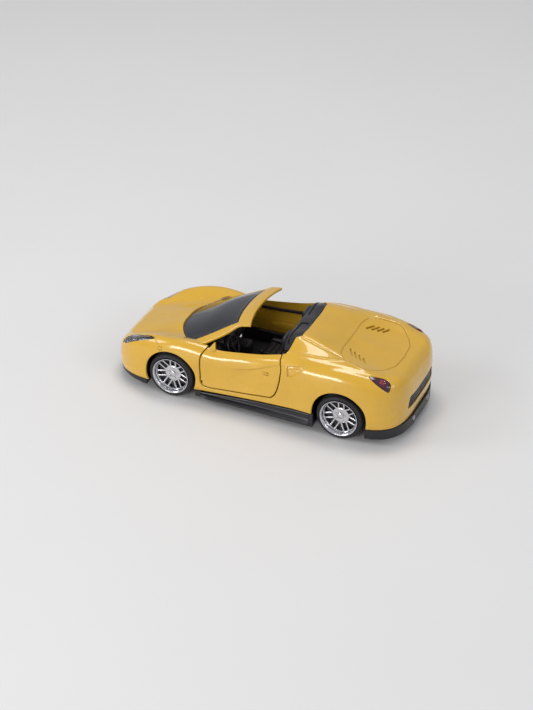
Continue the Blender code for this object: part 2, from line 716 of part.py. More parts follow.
slot_rows = np.linspace(1 / 12 + 0.004, 8 / 12 - 0.004, 9)
slot_across = np.linspace(-PILLAR_SHARE + 0.006, PILLAR_SHARE - 0.006, 13)
glass_slot = plate(
    "screen_slot", screen_grid(0.02, slot_rows, slot_across),
    screen_grid(1.2, slot_rows, slot_across), lambda i, j: True, tools,
)
combine(body, [glass_slot])
screen_rows = np.linspace(1 / 12 + 0.01, 8 / 12 - 0.01, 6)
screen_across = np.linspace(-PILLAR_SHARE + 0.014, PILLAR_SHARE - 0.014, 11)
plate(
    "windscreen", screen_grid(0.25, screen_rows, screen_across),
    screen_grid(0.95, screen_rows, screen_across), lambda i, j: True, parts, glass,
)

# Doors: the skin inside the door outline, a quarter-light fin and a bent hinge arm.
for side, name in ((1, "left"), (-1, "right")):
    door = prism("door_" + name, DOOR_OUTLINE, "y", DOOR_INNER_Y, 30, parts, paint)
    combine(door, [outline], "INTERSECT")
    scoop = prism("scoop", DOOR_SCOOP, "y", 20, 30, tools)
    combine(scoop, [recess_floor])
    nose_clearance = cylinder("hinge_clearance", 3.88, 5, 40, "z", HINGE, tools, segments=48)
    corner_clearance = cylinder("corner_clearance", 4.7, 5, 11.2, "z", HINGE, tools, segments=48)
    combine(door, [scoop, nose_clearance, corner_clearance])
    fin_points = [
        (15.8, 21.75, 24.6), (15.8, 22.6, 24.6), (19.0, 21.75, 24.2), (19.0, 22.6, 24.2),
        (15.8, 21.0, 28.4), (15.8, 21.6, 28.4),
    ]
    fin = mesh_object(
        "fin", fin_points, [(0, 1, 5, 4), (0, 2, 3, 1), (2, 4, 5, 3), (0, 4, 2), (1, 3, 5)], tools
    )
    arm_path = [
        (-0.7, 0.0), (-0.95, -2.6), (-2.2, -3.8), (-5.2, -4.2), (-5.6, -0.6), (-7.4, -0.6),
        (-7.4, -5.4), (-2.0, -5.2), (0.5, -3.4), (0.7, 0.0),
    ]
    arm = prism("arm", at(HINGE, arm_path), "z", 17.0, 21.5, tools)
    barrel = cylinder("barrel", 1.0, 17.0, 21.5, "z", HINGE, tools, segments=20)
    combine(door, [fin, arm, barrel], "UNION")
    combine(door, [cylinder("barrel_hole", 0.6, 16, 23, "z", HINGE, tools, segments=12)])
    if side < 0:
        mirror_across(door)
    cylinder(
        "hinge_pin_" + name, 0.5, 15.4, 22.7, "z", (HINGE[0], side * HINGE[1]), parts, steel, segments=12
    )

# Chassis: the black base that closes the body from below.
sill_row = body_grid(*HOLLOW_STEPS)[:, (HOLLOW_STEPS[2] - 1) * 8 // 10]
plan_half = [(x, y) for x, y, z in sill_row]
plan = plan_half + both_sides(plan_half[1:-1])[::-1]
chassis = prism("chassis", plan, "z", FLOOR_Z, 12, parts, black)
above_sill = [(x, z - FIT_GAP) for x, z in SILL_LINE] + [(-70.0, 40.0), (70.0, 40.0)]
pocket = prism("pocket", grow(plan, -1.3), "z", FLOOR_TOP, 40, tools)
combine(chassis, [prism("above_sill", above_sill, "y", -40, 40, tools), pocket])
skirt_outline = [(22.6, 23.6), (21.4, 26.4), (-6.0, 26.6), (-26.5, 27.3), (-27.3, 23.6)]
bearings = []
for side in (1, -1):
    shape = skirt_outline if side > 0 else both_sides(skirt_outline)
    bearings.append(prism("skirt", shape, "z", FLOOR_Z, 4.4, tools))
    ends = sorted((side * 12.6, side * 15.2))
    bearings.append(
        box("bearing", (FRONT_AXLE_X - 2.4, ends[0], 3.4), (FRONT_AXLE_X + 2.4, ends[1], 12.0), tools)
    )
bearings += [cylinder("pad", 2.8, 3.4, 5.1, "z", spot, tools) for spot in SCREWS]
combine(chassis, bearings, "UNION")
cuts = []
for axle, (x, low, high) in WHEELS.items():
    for side in (1, -1):
        ends = sorted((side * 16.4, side * 40.0))
        cuts.append(box("well", (x - 10.9, ends[0], -5), (x + 10.9, ends[1], 20), tools))
cuts += [
    cylinder("exhaust_hole", 1.5, -70, -60, "x", (s * EXHAUST[0], EXHAUST[1]), tools)
    for s in (1, -1)
]
cuts.append(
    cylinder(
        "front_bearing", AXLE_HOLE_RADIUS, -17, 17, "y", (FRONT_AXLE_X, TYRE_RADIUS), tools, segments=16
    )
)
for spot in SCREWS:
    cuts.append(cylinder("screw_hole", 0.95, 2, 6, "z", spot, tools, segments=16))
    cuts.append(cylinder("counterbore", 1.9, 2, 3.95, "z", spot, tools, segments=20))
combine(chassis, cuts)
for spot, name in zip(SCREWS, ("front", "rear")):
    screw = cylinder("base_screw_" + name, 0.75, 3.6, 10.5, "z", spot, parts, steel, segments=12)
    head = cylinder("head", 1.7, 3.15, 3.85, "z", spot, tools, segments=20)
    combine(screw, [head], "UNION")
    for a, b in ((1.0, 0.2), (0.2, 1.0)):
        driver_slot = box("slot", (spot[0] - a, spot[1] - b, 2), (spot[0] + a, spot[1] + b, 3.5), tools)
        combine(screw, [driver_slot])

# Interior: a tub with moulded seats, a bulkhead behind them, the dashboard and its wheel.
tub = box("interior_tub", (-16.0, -20.8, 5.0), (23.0, 20.8, 6.2), parts, dark)
SEAT_SIDE = [
    (-5.6, 5.6), (7.6, 5.6), (8.4, 9.6), (6.8, 10.8), (-2.6, 9.4), (-6.4, 12.6), (-11.6, 29.6),
    (-13.6, 30.8), (-15.2, 29.4), (-9.6, 9.4),
]
BOLSTER_SIDE = [
    (-5.6, 5.6), (7.6, 5.6), (8.0, 11.6), (-1.4, 11.2), (-4.8, 13.6), (-9.4, 25.4), (-12.4, 26.0),
    (-9.6, 9.4),
]
HEADREST_SIDE = [(-9.4, 26.6), (-9.6, 31.4), (-10.4, 32.5), (-11.4, 32.3), (-11.8, 30.8), (-13.6, 27.0)]
tub_pieces = []
for side in (1, -1):
    middle = side * 10.4
    tub_pieces.append(prism("seat", SEAT_SIDE, "y", middle - 5.0, middle + 5.0, tools))
    tub_pieces.append(prism("headrest", HEADREST_SIDE, "y", middle - 3.0, middle + 3.0, tools))
    for edge in (-1, 1):
        low, high = sorted((middle + edge * 4.4, middle + edge * 6.6))
        tub_pieces.append(prism("bolster", BOLSTER_SIDE, "y", low, high, tools))
    low, high = sorted((side * 19.4, side * 20.8))
    tub_pieces.append(box("sill_wall", (-16.0, low, 5.6), (23.0, high, 11.6), tools))
tub_pieces.append(box("tunnel", (-12.0, -2.6, 5.6), (21.0, 2.6, 11.0), tools))
for piece in tub_pieces:
    rounding = piece.modifiers.new("rounding", "BEVEL")
    rounding.width = 0.45 * MM
    rounding.segments = 1
    rounding.limit_method = "ANGLE"
    bake(piece)
combine(tub, tub_pieces, "UNION")

SHELF = [(-17.7, -19.4), (-12.8, -19.4), (-12.2, -16.0), (-12.2, 16.0), (-12.8, 19.4), (-17.7, 19.4)]
SHELF_DEPTH = 1.6
bulkhead_shape = [
    (-20.4, 6.6), (20.4, 6.6), (20.4, 25.0), (17.4, 29.0), (13.4, 31.6), (11.8, 33.8), (8.0, 34.6),
    (-8.0, 34.6), (-11.8, 33.8), (-13.4, 31.6), (-17.4, 29.0), (-20.4, 25.0),
]
bulkhead = prism("bulkhead", bulkhead_shape, "x", -17.7, -16.5, parts, dark)
shelf = prism("rear_shelf", SHELF, "z", 28, 40, tools)
combine(shelf, [solid_at(SHELF_DEPTH, "shelf_top")], "INTERSECT")
combine(shelf, [solid_at(SHELF_DEPTH + 1.3, "shelf_underside")])
combine(bulkhead, [shelf], "UNION")

DASH_SIDE = [
    (17.4, 15.0), (16.6, 18.6), (17.8, 21.6), (22.4, 22.8), (29.4, 22.4), (33.4, 20.8), (33.4, 18.0),
    (24.0, 15.0),
]
dashboard = prism("dashboard", DASH_SIDE, "y", -16.4, 16.4, parts, dark)
dash_pieces = [
    box("console", (10.4, -2.9, 11.8), (18.6, 2.9, 17.2), tools, bevel=0.6),
    prism("binnacle", at((9.6, 21.4), circle(2.7, 16)), "x", 16.9, 21.6, tools),
]
combine(dashboard, dash_pieces, "UNION")
column = cylinder("column", 0.9, -7.0, 0.0, "z", (0, 0), tools, segments=12)
column_turn = Matrix.Translation(
    Vector((14.6, 9.6, 20.2)) * MM
) @ Matrix.Rotation(math.radians(-68), 4, "Y")
column.data.transform(column_turn)
combine(dashboard, [column], "UNION")

wheel = turned(
    "steering_wheel", [(4.2 + 0.5 * a, 0.5 * b) for a, b in circle(1.0, 8)], (0, 0, 0), "z", parts,
    dark, segments=28,
)
spokes = [cylinder("steering_hub", 1.3, -0.6, 0.5, "z", (0, 0), tools, segments=16)]
for turn in (0, 180, 270):
    spoke = box("steering_spoke", (0.6, -0.45, -0.25), (4.1, 0.45, 0.25), tools)
    spoke.data.transform(Matrix.Rotation(math.radians(turn + 90), 4, "Z"))
    spokes.append(spoke)
combine(wheel, spokes, "UNION")
wheel.data.transform(
    Matrix.Translation(Vector((13.7, 9.6, 20.56)) * MM) @ Matrix.Rotation(math.radians(-68), 4, "Y")
)

# Wheels: bright rims with paired spokes, low tyres and plain axle rods.
PAIR_HALF_GAP = 0.75
SPOKE_WIDTH = 0.7
SPOKE_OUTER = 6.35
SLOT_INNER = 3.5
spoke_shapes = []
for pair in range(SPOKE_PAIRS):
    turn = SPOKE_TURN + 2 * math.pi * pair / SPOKE_PAIRS
    half_step = math.pi / SPOKE_PAIRS
    edge = PAIR_HALF_GAP + SPOKE_WIDTH
    start = math.asin(edge / SPOKE_OUTER)
    apex = edge / math.sin(half_step) + 0.25
    slot_end = math.sqrt(SPOKE_OUTER**2 - PAIR_HALF_GAP**2)
    pair_slot = [(SLOT_INNER, -PAIR_HALF_GAP), (slot_end, -PAIR_HALF_GAP)]
    pair_slot += both_sides(pair_slot)[::-1]
    spread = [start + (2 * half_step - 2 * start) * k / 2 for k in range(3)]
    wedge = [(apex * math.cos(half_step), apex * math.sin(half_step))]
    wedge += [(SPOKE_OUTER * math.cos(a), SPOKE_OUTER * math.sin(a)) for a in spread]
    for shape in (pair_slot, wedge):
        spoke_shapes.append(rotated(shape, turn))


def rim(name, x, side, low, high):
    """A deep-dish rim: its lip is at the outer face and its spokes are set back from it."""
    sign = 1 if side > 0 else -1
    lip = [
        (7.7, low), (7.2, low + 2.9), (7.2, high - 2.9), (7.7, high - 2.5), (7.85, high + 0.2),
        (7.4, high + 0.2), (6.5, high - 2.2), (6.5, low),
    ]
    ring = turned(
        name, [(r, sign * h) for r, h in lip], (x, 0, TYRE_RADIUS), "y", parts, chrome,
        segments=WHEEL_STEPS,
    )
    face_low, face_high = sorted((side * (high - 2.8), side * (high - 1.9)))
    outer = circle(6.8, WHEEL_STEPS)
    gaps = [at((x, TYRE_RADIUS), shape) for shape in spoke_shapes]
    disc = prism("spokes", at((x, TYRE_RADIUS), outer), "y", face_low, face_high, tools, holes=gaps)
    hub = [
        (0.0, high - 6.0), (1.9, high - 6.0), (1.9, high - 1.6), (1.3, high - 1.5), (0.9, high - 0.8),
        (0.0, high - 0.6),
    ]
    boss = turned("hub", [(r, sign * h) for r, h in hub], (x, 0, TYRE_RADIUS), "y", tools, segments=12)
    combine(ring, [disc, boss], "UNION")
    hole_low, hole_high = sorted((side * (high - 7.0), side * (high - 2.9)))
    combine(
        ring,
        [
            cylinder(
                "axle_hole", AXLE_HOLE_RADIUS, hole_low, hole_high, "y", (x, TYRE_RADIUS), tools,
                segments=16,
            )
        ],
    )
    return ring


def tyre(name, x, side, low, high):
    sign = 1 if side > 0 else -1
    half = [
        (8.05, low), (9.1, low), (TYRE_RADIUS, low + 0.9), (TYRE_RADIUS, high - 0.9), (9.1, high),
        (8.2, high),
    ]
    half += [(8.05, high - 2.4), (7.55, high - 3.2), (7.55, low + 3.2)]
    return turned(
        name, [(r, sign * h) for r, h in half], (x, 0, TYRE_RADIUS), "y", parts, rubber,
        segments=WHEEL_STEPS,
    )


moving = []
for axle, (x, low, high) in WHEELS.items():
    for side, name in ((1, "left"), (-1, "right")):
        moving.append((rim(f"rim_{axle}_{name}", x, side, low, high), (x, side * high, TYRE_RADIUS)))
        moving.append((tyre(f"tyre_{axle}_{name}", x, side, low, high), (x, side * high, TYRE_RADIUS)))
    rod = cylinder(
        f"{axle}_axle", AXLE_RADIUS, -(high - 3.2), high - 3.2, "y", (x, TYRE_RADIUS), parts, steel,
        segments=16,
    )
    moving.append((rod, (x, 0, TYRE_RADIUS)))

# Pull-back motor: the rear axle's pinion drives an idler, which winds the spring drum.
axle_centre = (REAR_AXLE_X, TYRE_RADIUS)
idler_centre = (
    axle_centre[0] + GEAR_SPACING * math.cos(IDLER_TURN),
    axle_centre[1] + GEAR_SPACING * math.sin(IDLER_TURN),
)
drum_centre = (
    idler_centre[0] + GEAR_SPACING * math.cos(DRUM_TURN),
    idler_centre[1] + GEAR_SPACING * math.sin(DRUM_TURN),
)
tooth = 2 * math.pi / WHEEL_TEETH


def gear(name, teeth, centre, turn, low, high, collection, material=None):
    return prism(
        name, at(centre, gear_outline(teeth, GEAR_MODULE, turn)), "y", low, high, collection, material
    )


pinion = gear("axle_gear", PINION_TEETH, axle_centre, IDLER_TURN, 0.9, 2.1, parts, nylon)
combine(pinion, [cylinder("bore", AXLE_HOLE_RADIUS, -1, 4, "y", axle_centre, tools, segments=16)])
idler = gear(
    "idler_gear", WHEEL_TEETH, idler_centre, IDLER_TURN + math.pi + tooth / 2, 1.0, 2.0, parts, nylon
)
small = gear("idler_pinion", PINION_TEETH, idler_centre, DRUM_TURN, -1.6, 1.2, tools)
combine(idler, [small], "UNION")
combine(idler, [cylinder("bore", 0.6, -3, 4, "y", idler_centre, tools, segments=16)])
drum = gear(
    "spring_drum", WHEEL_TEETH, drum_centre, DRUM_TURN + math.pi + tooth / 2, -1.5, -0.3, parts, nylon
)
combine(drum, [cylinder("arbor", 1.3, -6.8, -1.2, "y", drum_centre, tools, segments=20)], "UNION")
combine(drum, [cylinder("bore", 0.6, -9, 4, "y", drum_centre, tools, segments=16)])
moving += [
    (pinion, (axle_centre[0], 0, axle_centre[1])), (idler, (idler_centre[0], 0, idler_centre[1])),
    (drum, (drum_centre[0], 0, drum_centre[1])),
]

SPRING_TURNS = 3.5
SPRING_STEPS = 56
SPRING_HALF = 0.11
coil = []
for side in (1, -1):
    line = []
    for i in range(SPRING_STEPS + 1):
        share = i / SPRING_STEPS
        angle = 2 * math.pi * SPRING_TURNS * share
        radius = 1.9 + 3.0 * share + side * SPRING_HALF
        line.append((radius * math.cos(angle), radius * math.sin(angle)))
    coil += line if side > 0 else line[::-1]
prism("mainspring", at(drum_centre, coil), "y", -6.4, -2.4, parts, steel)

(low_x, low_y, low_z), (high_x, high_y, high_z) = MOTOR_BOX
WALL = 0.8
case = box("motor_case", MOTOR_BOX[0], MOTOR_BOX[1], parts, nylon)
cavity = box(
    "cavity", (low_x + WALL, low_y + WALL, low_z + WALL), (high_x - WALL, 9.0, high_z - WALL), tools
)
combine(case, [cavity])
pins = [
    cylinder("pin", 0.5, low_y + 0.3, 2.2, "y", centre, tools, segments=12)
    for centre in (idler_centre, drum_centre)
]
combine(case, pins, "UNION")
bearing_hole = cylinder("motor_bearing", AXLE_HOLE_RADIUS, -12, 12, "y", axle_centre, tools, segments=16)
combine(case, [bearing_hole])
lid = box("motor_lid", (low_x, 2.7, low_z), (high_x, 3.5, high_z), parts, nylon)
combine(lid, [bearing_hole])

for side, name in ((1, "left"), (-1, "right")):
    exhaust = turned(
        "exhaust_tip_" + name,
        [(0.0, -61.6), (0.85, -61.6), (0.85, -64.2), (1.2, -64.2), (1.2, -60.6), (0.0, -60.6)],
        (0, side * EXHAUST[0], EXHAUST[1]), "x", parts, chrome, segments=16,
    )

for side, name in ((1, "left"), (-1, "right")):
    moving.append((bpy.data.objects["door_" + name], (HINGE[0], side * HINGE[1], 19.25)))
    moving.append((bpy.data.objects["hinge_pin_" + name], (HINGE[0], side * HINGE[1], 19.25)))
moving.append((wheel, (13.7, 9.6, 20.56)))

# Each moving piece is held by an origin on its own axis.
for obj, origin in moving:
    place = Vector(origin) * MM
    obj.data.transform(Matrix.Translation(-place))
    obj.location = place

for tool in tools.objects:
    tool.hide_render = True
    tool.display_type = "WIRE"
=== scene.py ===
"""Looks of the pull-back toy car: fine surfaces and finishes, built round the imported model.

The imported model's frame: +X is forward, +Y is the car's left, +Z is up. Shapes are written in
millimetres and turned into metres by MM.
"""

import json
import math

import bmesh
import bpy
import numpy as np
from mathutils import Matrix, Vector

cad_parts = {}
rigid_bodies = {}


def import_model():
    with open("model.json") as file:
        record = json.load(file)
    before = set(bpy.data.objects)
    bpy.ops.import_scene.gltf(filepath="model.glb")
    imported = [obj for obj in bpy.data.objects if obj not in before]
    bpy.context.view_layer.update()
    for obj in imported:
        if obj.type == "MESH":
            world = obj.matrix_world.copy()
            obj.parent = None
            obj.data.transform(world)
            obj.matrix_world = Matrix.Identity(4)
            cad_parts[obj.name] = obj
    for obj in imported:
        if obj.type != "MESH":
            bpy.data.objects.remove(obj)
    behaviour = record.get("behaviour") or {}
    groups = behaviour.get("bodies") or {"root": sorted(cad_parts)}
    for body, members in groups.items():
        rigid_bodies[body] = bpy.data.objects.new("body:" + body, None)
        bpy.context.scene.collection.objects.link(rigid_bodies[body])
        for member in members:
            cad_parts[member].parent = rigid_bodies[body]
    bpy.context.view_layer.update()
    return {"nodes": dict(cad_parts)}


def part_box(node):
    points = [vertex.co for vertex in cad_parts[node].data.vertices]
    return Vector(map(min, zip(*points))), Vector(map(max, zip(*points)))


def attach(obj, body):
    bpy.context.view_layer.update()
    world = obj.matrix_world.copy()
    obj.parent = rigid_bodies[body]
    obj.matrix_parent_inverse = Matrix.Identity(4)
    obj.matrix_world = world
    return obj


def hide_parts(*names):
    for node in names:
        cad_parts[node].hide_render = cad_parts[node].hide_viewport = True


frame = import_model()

MM = 0.001


def centre_of(node):
    """The middle of a node's box, in mm."""
    low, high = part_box(node)
    return (low + high) / 2 / MM


# ---------------------------------------------------------------- dimensions, in mm

LENGTH = 128.6
FRONT_AXLE_X = centre_of("front_axle").x
REAR_AXLE_X = centre_of("rear_axle").x
AXLE_Z = centre_of("front_axle").z
TYRE_RADIUS = (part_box("tyre_front_left")[1].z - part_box("tyre_front_left")[0].z) / 2 / MM
SKIN = 1.0
DOOR_GAP = 0.4
FRONT_ARCH_RADIUS = 11.0
REAR_ARCH_RADIUS = 11.4
ARCH_Z = AXLE_Z + 0.4
HINGE = (centre_of("hinge_pin_left").x, centre_of("hinge_pin_left").y)

SIDES = ((1, "left"), (-1, "right"))

# Each end closes like a superellipse: (start x, tip x, exponent) in plan, and
# (depth, exponent, tip height) in side view.
NOSE_PLAN = (44.0, LENGTH / 2, 3.2)
NOSE_SIDE = (6.5, 2.2, 8.0)
TAIL_PLAN = (-44.0, -LENGTH / 2, 3.2)
TAIL_SIDE = (5.5, 2.4, 17.0)

# Body sections, front to rear: x, height on the centreline, then (y, z) of the lines that run
# along one side: bonnet, valley, crest, shoulder, upper side, waist, lower side, sill.
SECTIONS = [
    (63.5, 15.6, (7.5, 15.5), (13.2, 15.2), (17.6, 15.0), (20.6, 13.9),
     (21.9, 11.9), (22.4, 9.8), (22.2, 7.4), (21.3, 4.6)),
    (57.0, 17.6, (7.7, 17.6), (14.0, 17.7), (18.8, 18.3), (22.0, 17.0),
     (23.4, 14.4), (23.9, 11.8), (23.8, 8.6), (23.2, 5.0)),
    (50.0, 19.7, (8.0, 19.6), (14.3, 19.9), (18.8, 22.2), (22.0, 21.7),
     (24.0, 18.2), (24.9, 14.5), (25.1, 10.0), (24.8, 5.4)),
    (42.0, 22.1, (8.0, 22.0), (15.2, 22.0), (20.5, 24.8), (23.4, 24.0),
     (25.5, 20.2), (26.2, 15.8), (26.2, 10.8), (25.9, 5.8)),
    (34.5, 24.0, (8.0, 23.8), (16.2, 23.5), (21.6, 26.0), (24.2, 25.0),
     (25.9, 21.2), (26.4, 16.5), (26.3, 11.0), (25.9, 6.0)),
    (26.0, 25.7, (8.0, 25.5), (16.8, 25.0), (21.8, 26.1), (24.0, 24.9),
     (25.5, 21.5), (25.8, 17.0), (25.5, 11.5), (25.4, 6.3)),
    (16.0, 27.4, (8.0, 27.2), (16.8, 26.4), (21.5, 25.1), (23.6, 24.0),
     (25.1, 21.0), (25.2, 17.0), (25.1, 12.0), (25.2, 6.6)),
    (5.0, 30.0, (8.0, 29.8), (16.8, 28.4), (21.4, 26.3), (23.4, 25.1),
     (24.9, 21.6), (24.8, 17.2), (25.1, 12.0), (25.3, 6.8)),
    (-5.0, 33.0, (8.0, 32.8), (16.4, 31.3), (21.4, 28.1), (23.5, 26.8),
     (25.2, 23.2), (25.3, 18.0), (25.5, 12.3), (25.6, 6.8)),
    (-13.0, 35.2, (8.0, 35.1), (15.2, 34.3), (21.3, 30.3), (23.8, 28.9),
     (25.8, 25.1), (26.1, 19.3), (26.1, 12.8), (26.1, 6.8)),
    (-20.0, 35.4, (8.0, 35.4), (14.8, 34.9), (21.0, 31.7), (24.0, 30.1),
     (26.3, 26.0), (26.8, 20.0), (26.7, 13.0), (26.5, 6.8)),
    (-30.0, 33.2, (8.0, 33.2), (15.6, 33.2), (20.8, 31.7), (24.2, 30.2),
     (26.8, 26.2), (27.3, 20.5), (27.1, 13.5), (26.9, 7.0)),
    (-39.0, 30.8, (8.0, 30.5), (15.9, 31.2), (20.8, 31.2), (24.3, 29.9),
     (26.8, 26.0), (27.3, 20.5), (27.1, 13.5), (26.9, 7.0)),
    (-48.0, 28.9, (8.0, 28.8), (15.2, 29.3), (20.4, 29.9), (23.9, 28.6),
     (26.3, 24.8), (26.9, 19.8), (26.7, 13.5), (26.3, 7.4)),
    (-57.0, 27.8, (8.0, 27.8), (14.8, 28.0), (20.0, 28.1), (23.4, 26.9),
     (25.6, 23.4), (26.4, 18.8), (26.2, 13.5), (25.8, 7.8)),
    (-63.5, 27.0, (8.0, 27.0), (14.8, 27.0), (20.0, 26.8), (23.2, 25.4),
     (25.2, 22.2), (25.8, 18.0), (25.6, 13.5), (25.2, 8.2)),
]
UNDERSIDE = [(15.0, 3.0), (0.0, 3.0)]
GIRTH = [0.0, 8.0, 15.5, 21.0, 24.2, 28.4, 33.4, 40.0, 46.0, 57.0, 72.0]


# ---------------------------------------------------------------- splines and outlines


def natural_spline(knots, values, places, own=False):
    """Natural cubic spline through values at knots, read at places.

    With own, the values hold one column for each place, and each place reads its own column.
    """
    knots = np.asarray(knots, float)
    values = np.asarray(values, float)
    count = len(knots)
    step = np.diff(knots)
    matrix = np.eye(count)
    rhs = np.zeros_like(values)
    for i in range(1, count - 1):
        matrix[i, i - 1 : i + 2] = step[i - 1], 2 * (step[i - 1] + step[i]), step[i]
        rhs[i] = 6 * ((values[i + 1] - values[i]) / step[i] - (values[i] - values[i - 1]) / step[i - 1])
    bend = np.linalg.solve(matrix, rhs.reshape(count, -1)).reshape(values.shape)
    places = np.clip(np.asarray(places, float), knots[0], knots[-1])
    i = np.clip(np.searchsorted(knots, places, side="right") - 1, 0, count - 2)
    pick = (i, np.arange(len(places))) if own else (i,)
    after = (i + 1, *pick[1:])
    v0, v1, b0, b1 = values[pick], values[after], bend[pick], bend[after]
    shape = (-1,) + (1,) * (v0.ndim - 1)
    h = (knots[i + 1] - knots[i]).reshape(shape)
    a = (knots[i + 1] - places).reshape(shape)
    b = (places - knots[i]).reshape(shape)
    return (b0 * a**3 + b1 * b**3) / (6 * h) + (v0 / h - b0 * h / 6) * a + (v1 / h - b1 * h / 6) * b


def smooth(share):
    share = np.clip(share, 0.0, 1.0)
    return share * share * (3 - 2 * share)


def line_distance(points, line, closed=False):
    """Distance from 2-D points to a run of straight segments."""
    line = np.asarray(line, float)
    ends = np.roll(line, -1, axis=0) if closed else line[1:]
    starts = line if closed else line[:-1]
    best = np.full(len(points), 1e9)
    for a, b in zip(starts, ends):
        along = b - a
        share = np.clip(((points - a) @ along) / max(along @ along, 1e-12), 0, 1)
        best = np.minimum(best, np.linalg.norm(points - a - share[:, None] * along, axis=1))
    return best


def inside(points, outline):
    """Whether each 2-D point is inside a closed outline."""
    outline = np.asarray(outline, float)
    found = np.zeros(len(points), bool)
    x, y = points[:, 0], points[:, 1]
    for (x0, y0), (x1, y1) in zip(outline, np.roll(outline, -1, axis=0)):
        crosses = (y0 > y) != (y1 > y)
        reach = (x1 - x0) * (y - y0) / (y1 - y0 if y1 != y0 else 1e-12) + x0
        found ^= crosses & (x < reach)
    return found


def outline_distance(points, outline):
    """Signed distance to a closed outline, negative inside."""
    return np.where(inside(points, outline), -1, 1) * line_distance(points, outline, closed=True)


def grow(outline, distance):
    """A closed outline moved outwards by distance, corner by corner."""
    area = sum(a[0] * b[1] - b[0] * a[1] for a, b in zip(outline, outline[1:] + outline[:1]))
    way = distance if area > 0 else -distance
    corners = []
    for before, here, after in zip(outline[-1:] + outline[:-1], outline, outline[1:] + outline[:1]):
        first = Vector((here[1] - before[1], before[0] - here[0])).normalized()
        second = Vector((after[1] - here[1], here[0] - after[0])).normalized()
        bisector = (first + second).normalized()
        reach = way / max(bisector.dot(first), 0.5)
        corners.append((here[0] + bisector.x * reach, here[1] + bisector.y * reach))
    return corners


def rounded(outline, radius, steps=4):
    """A closed outline with each corner turned into a short curve."""
    made = []
    count = len(outline)
    for i in range(count):
        before, here, after = Vector(outline[i - 1]), Vector(outline[i]), Vector(outline[(i + 1) % count])
        back, ahead = before - here, after - here
        reach = min(radius, back.length * 0.45, ahead.length * 0.45)
        start, end = here + back.normalized() * reach, here + ahead.normalized() * reach
        for k in range(steps + 1):
            share = k / steps
            point = start * (1 - share) ** 2 + here * 2 * share * (1 - share) + end * share**2
            made.append((point.x, point.y))
    return made


def circle(radius, count):
    angles = [2 * math.pi * i / count for i in range(count)]
    return [(radius * math.cos(a), radius * math.sin(a)) for a in angles]


def moved(outline, centre):
    return [(centre[0] + a, centre[1] + b) for a, b in outline]


def rotated(outline, turn):
    cos, sin = math.cos(turn), math.sin(turn)
    return [(a * cos - b * sin, a * sin + b * cos) for a, b in outline]


def on_side(side, outline):
    """An outline drawn for the car's left (side 1) or turned to its right (side -1)."""
    return [(x, side * y) for x, y in outline]


def other_side(outline):
    return on_side(-1, outline)


def span(side, near, far):
    """The Y range between two distances from the centreline on one side, lowest first."""
    return sorted((side * near, side * far))


def read_along(line, x):
    """Height of a line of (x, height) points, which runs from front to rear, at x."""
    places, heights = zip(*line[::-1])
    return np.interp(x, places, heights)


# ---------------------------------------------------------------- mesh helpers

WORK = bpy.data.collections.new("cutters")
bpy.context.scene.collection.children.link(WORK)
SHOWN = bpy.context.scene.collection
AXIS_TURN = {
    "x": Matrix.Rotation(math.pi / 2, 4, "Y"),
    "y": Matrix.Rotation(-math.pi / 2, 4, "X"),
    "z": Matrix.Identity(4),
}
PLANE_TURN = {
    "z": Matrix.Identity(4),
    "y": Matrix(((1, 0, 0, 0), (0, 0, -1, 0), (0, 1, 0, 0), (0, 0, 0, 1))),
    "x": Matrix(((0, 0, 1, 0), (1, 0, 0, 0), (0, 1, 0, 0), (0, 0, 0, 1))),
}
SMOOTH_DEG = 32


def working(name, mesh):
    """An object in the collection of unfinished shapes."""
    obj = bpy.data.objects.new(name, mesh)
    WORK.objects.link(obj)
    return obj


def mesh_of(name, bm):
    mesh = bpy.data.meshes.new(name)
    bm.to_mesh(mesh)
    bm.free()
    return mesh


def from_bmesh(name, bm):
    """A closed shape whose faces look outwards."""
    bmesh.ops.recalc_face_normals(bm, faces=bm.faces)
    if bm.calc_volume(signed=True) < 0:
        bmesh.ops.reverse_faces(bm, faces=bm.faces)
    return working(name, mesh_of(name, bm))


def bake(obj):
    """Applies the object's modifiers."""
    bpy.context.view_layer.update()
    graph = bpy.context.evaluated_depsgraph_get()
    mesh = bpy.data.meshes.new_from_object(obj.evaluated_get(graph))
    obj.modifiers.clear()
    obj.data = mesh
    return obj


def bevel(obj, width, segments=3, angle_deg=30):
    modifier = obj.modifiers.new("rounding", "BEVEL")
    modifier.width = width * MM
    modifier.segments = segments
    modifier.limit_method = "ANGLE"
    modifier.angle_limit = math.radians(angle_deg)
    return bake(obj)


def box(name, low, high, rounding=0.0):
    low, high = Vector(low) * MM, Vector(high) * MM
    bm = bmesh.new()
    size = Matrix.Diagonal((*(high - low), 1.0))
    bmesh.ops.create_cube(bm, size=1.0, matrix=Matrix.Translation((low + high) / 2) @ size)
    obj = from_bmesh(name, bm)
    return bevel(obj, rounding) if rounding else obj


def cylinder(name, radius, low, high, axis, centre, segments=48):
    """A cylinder along axis from low to high; centre holds its other two coordinates, in X, Y, Z order."""
    middle = (low + high) / 2
    where = {"x": (middle, *centre), "y": (centre[0], middle, centre[1]), "z": (*centre, middle)}[axis]
    bm = bmesh.new()
    bmesh.ops.create_cone(
        bm,
        cap_ends=True,
        segments=segments,
        radius1=radius * MM,
        radius2=radius * MM,
        depth=(high - low) * MM,
        matrix=Matrix.Translation(Vector(where) * MM) @ AXIS_TURN[axis],
    )
    return from_bmesh(name, bm)


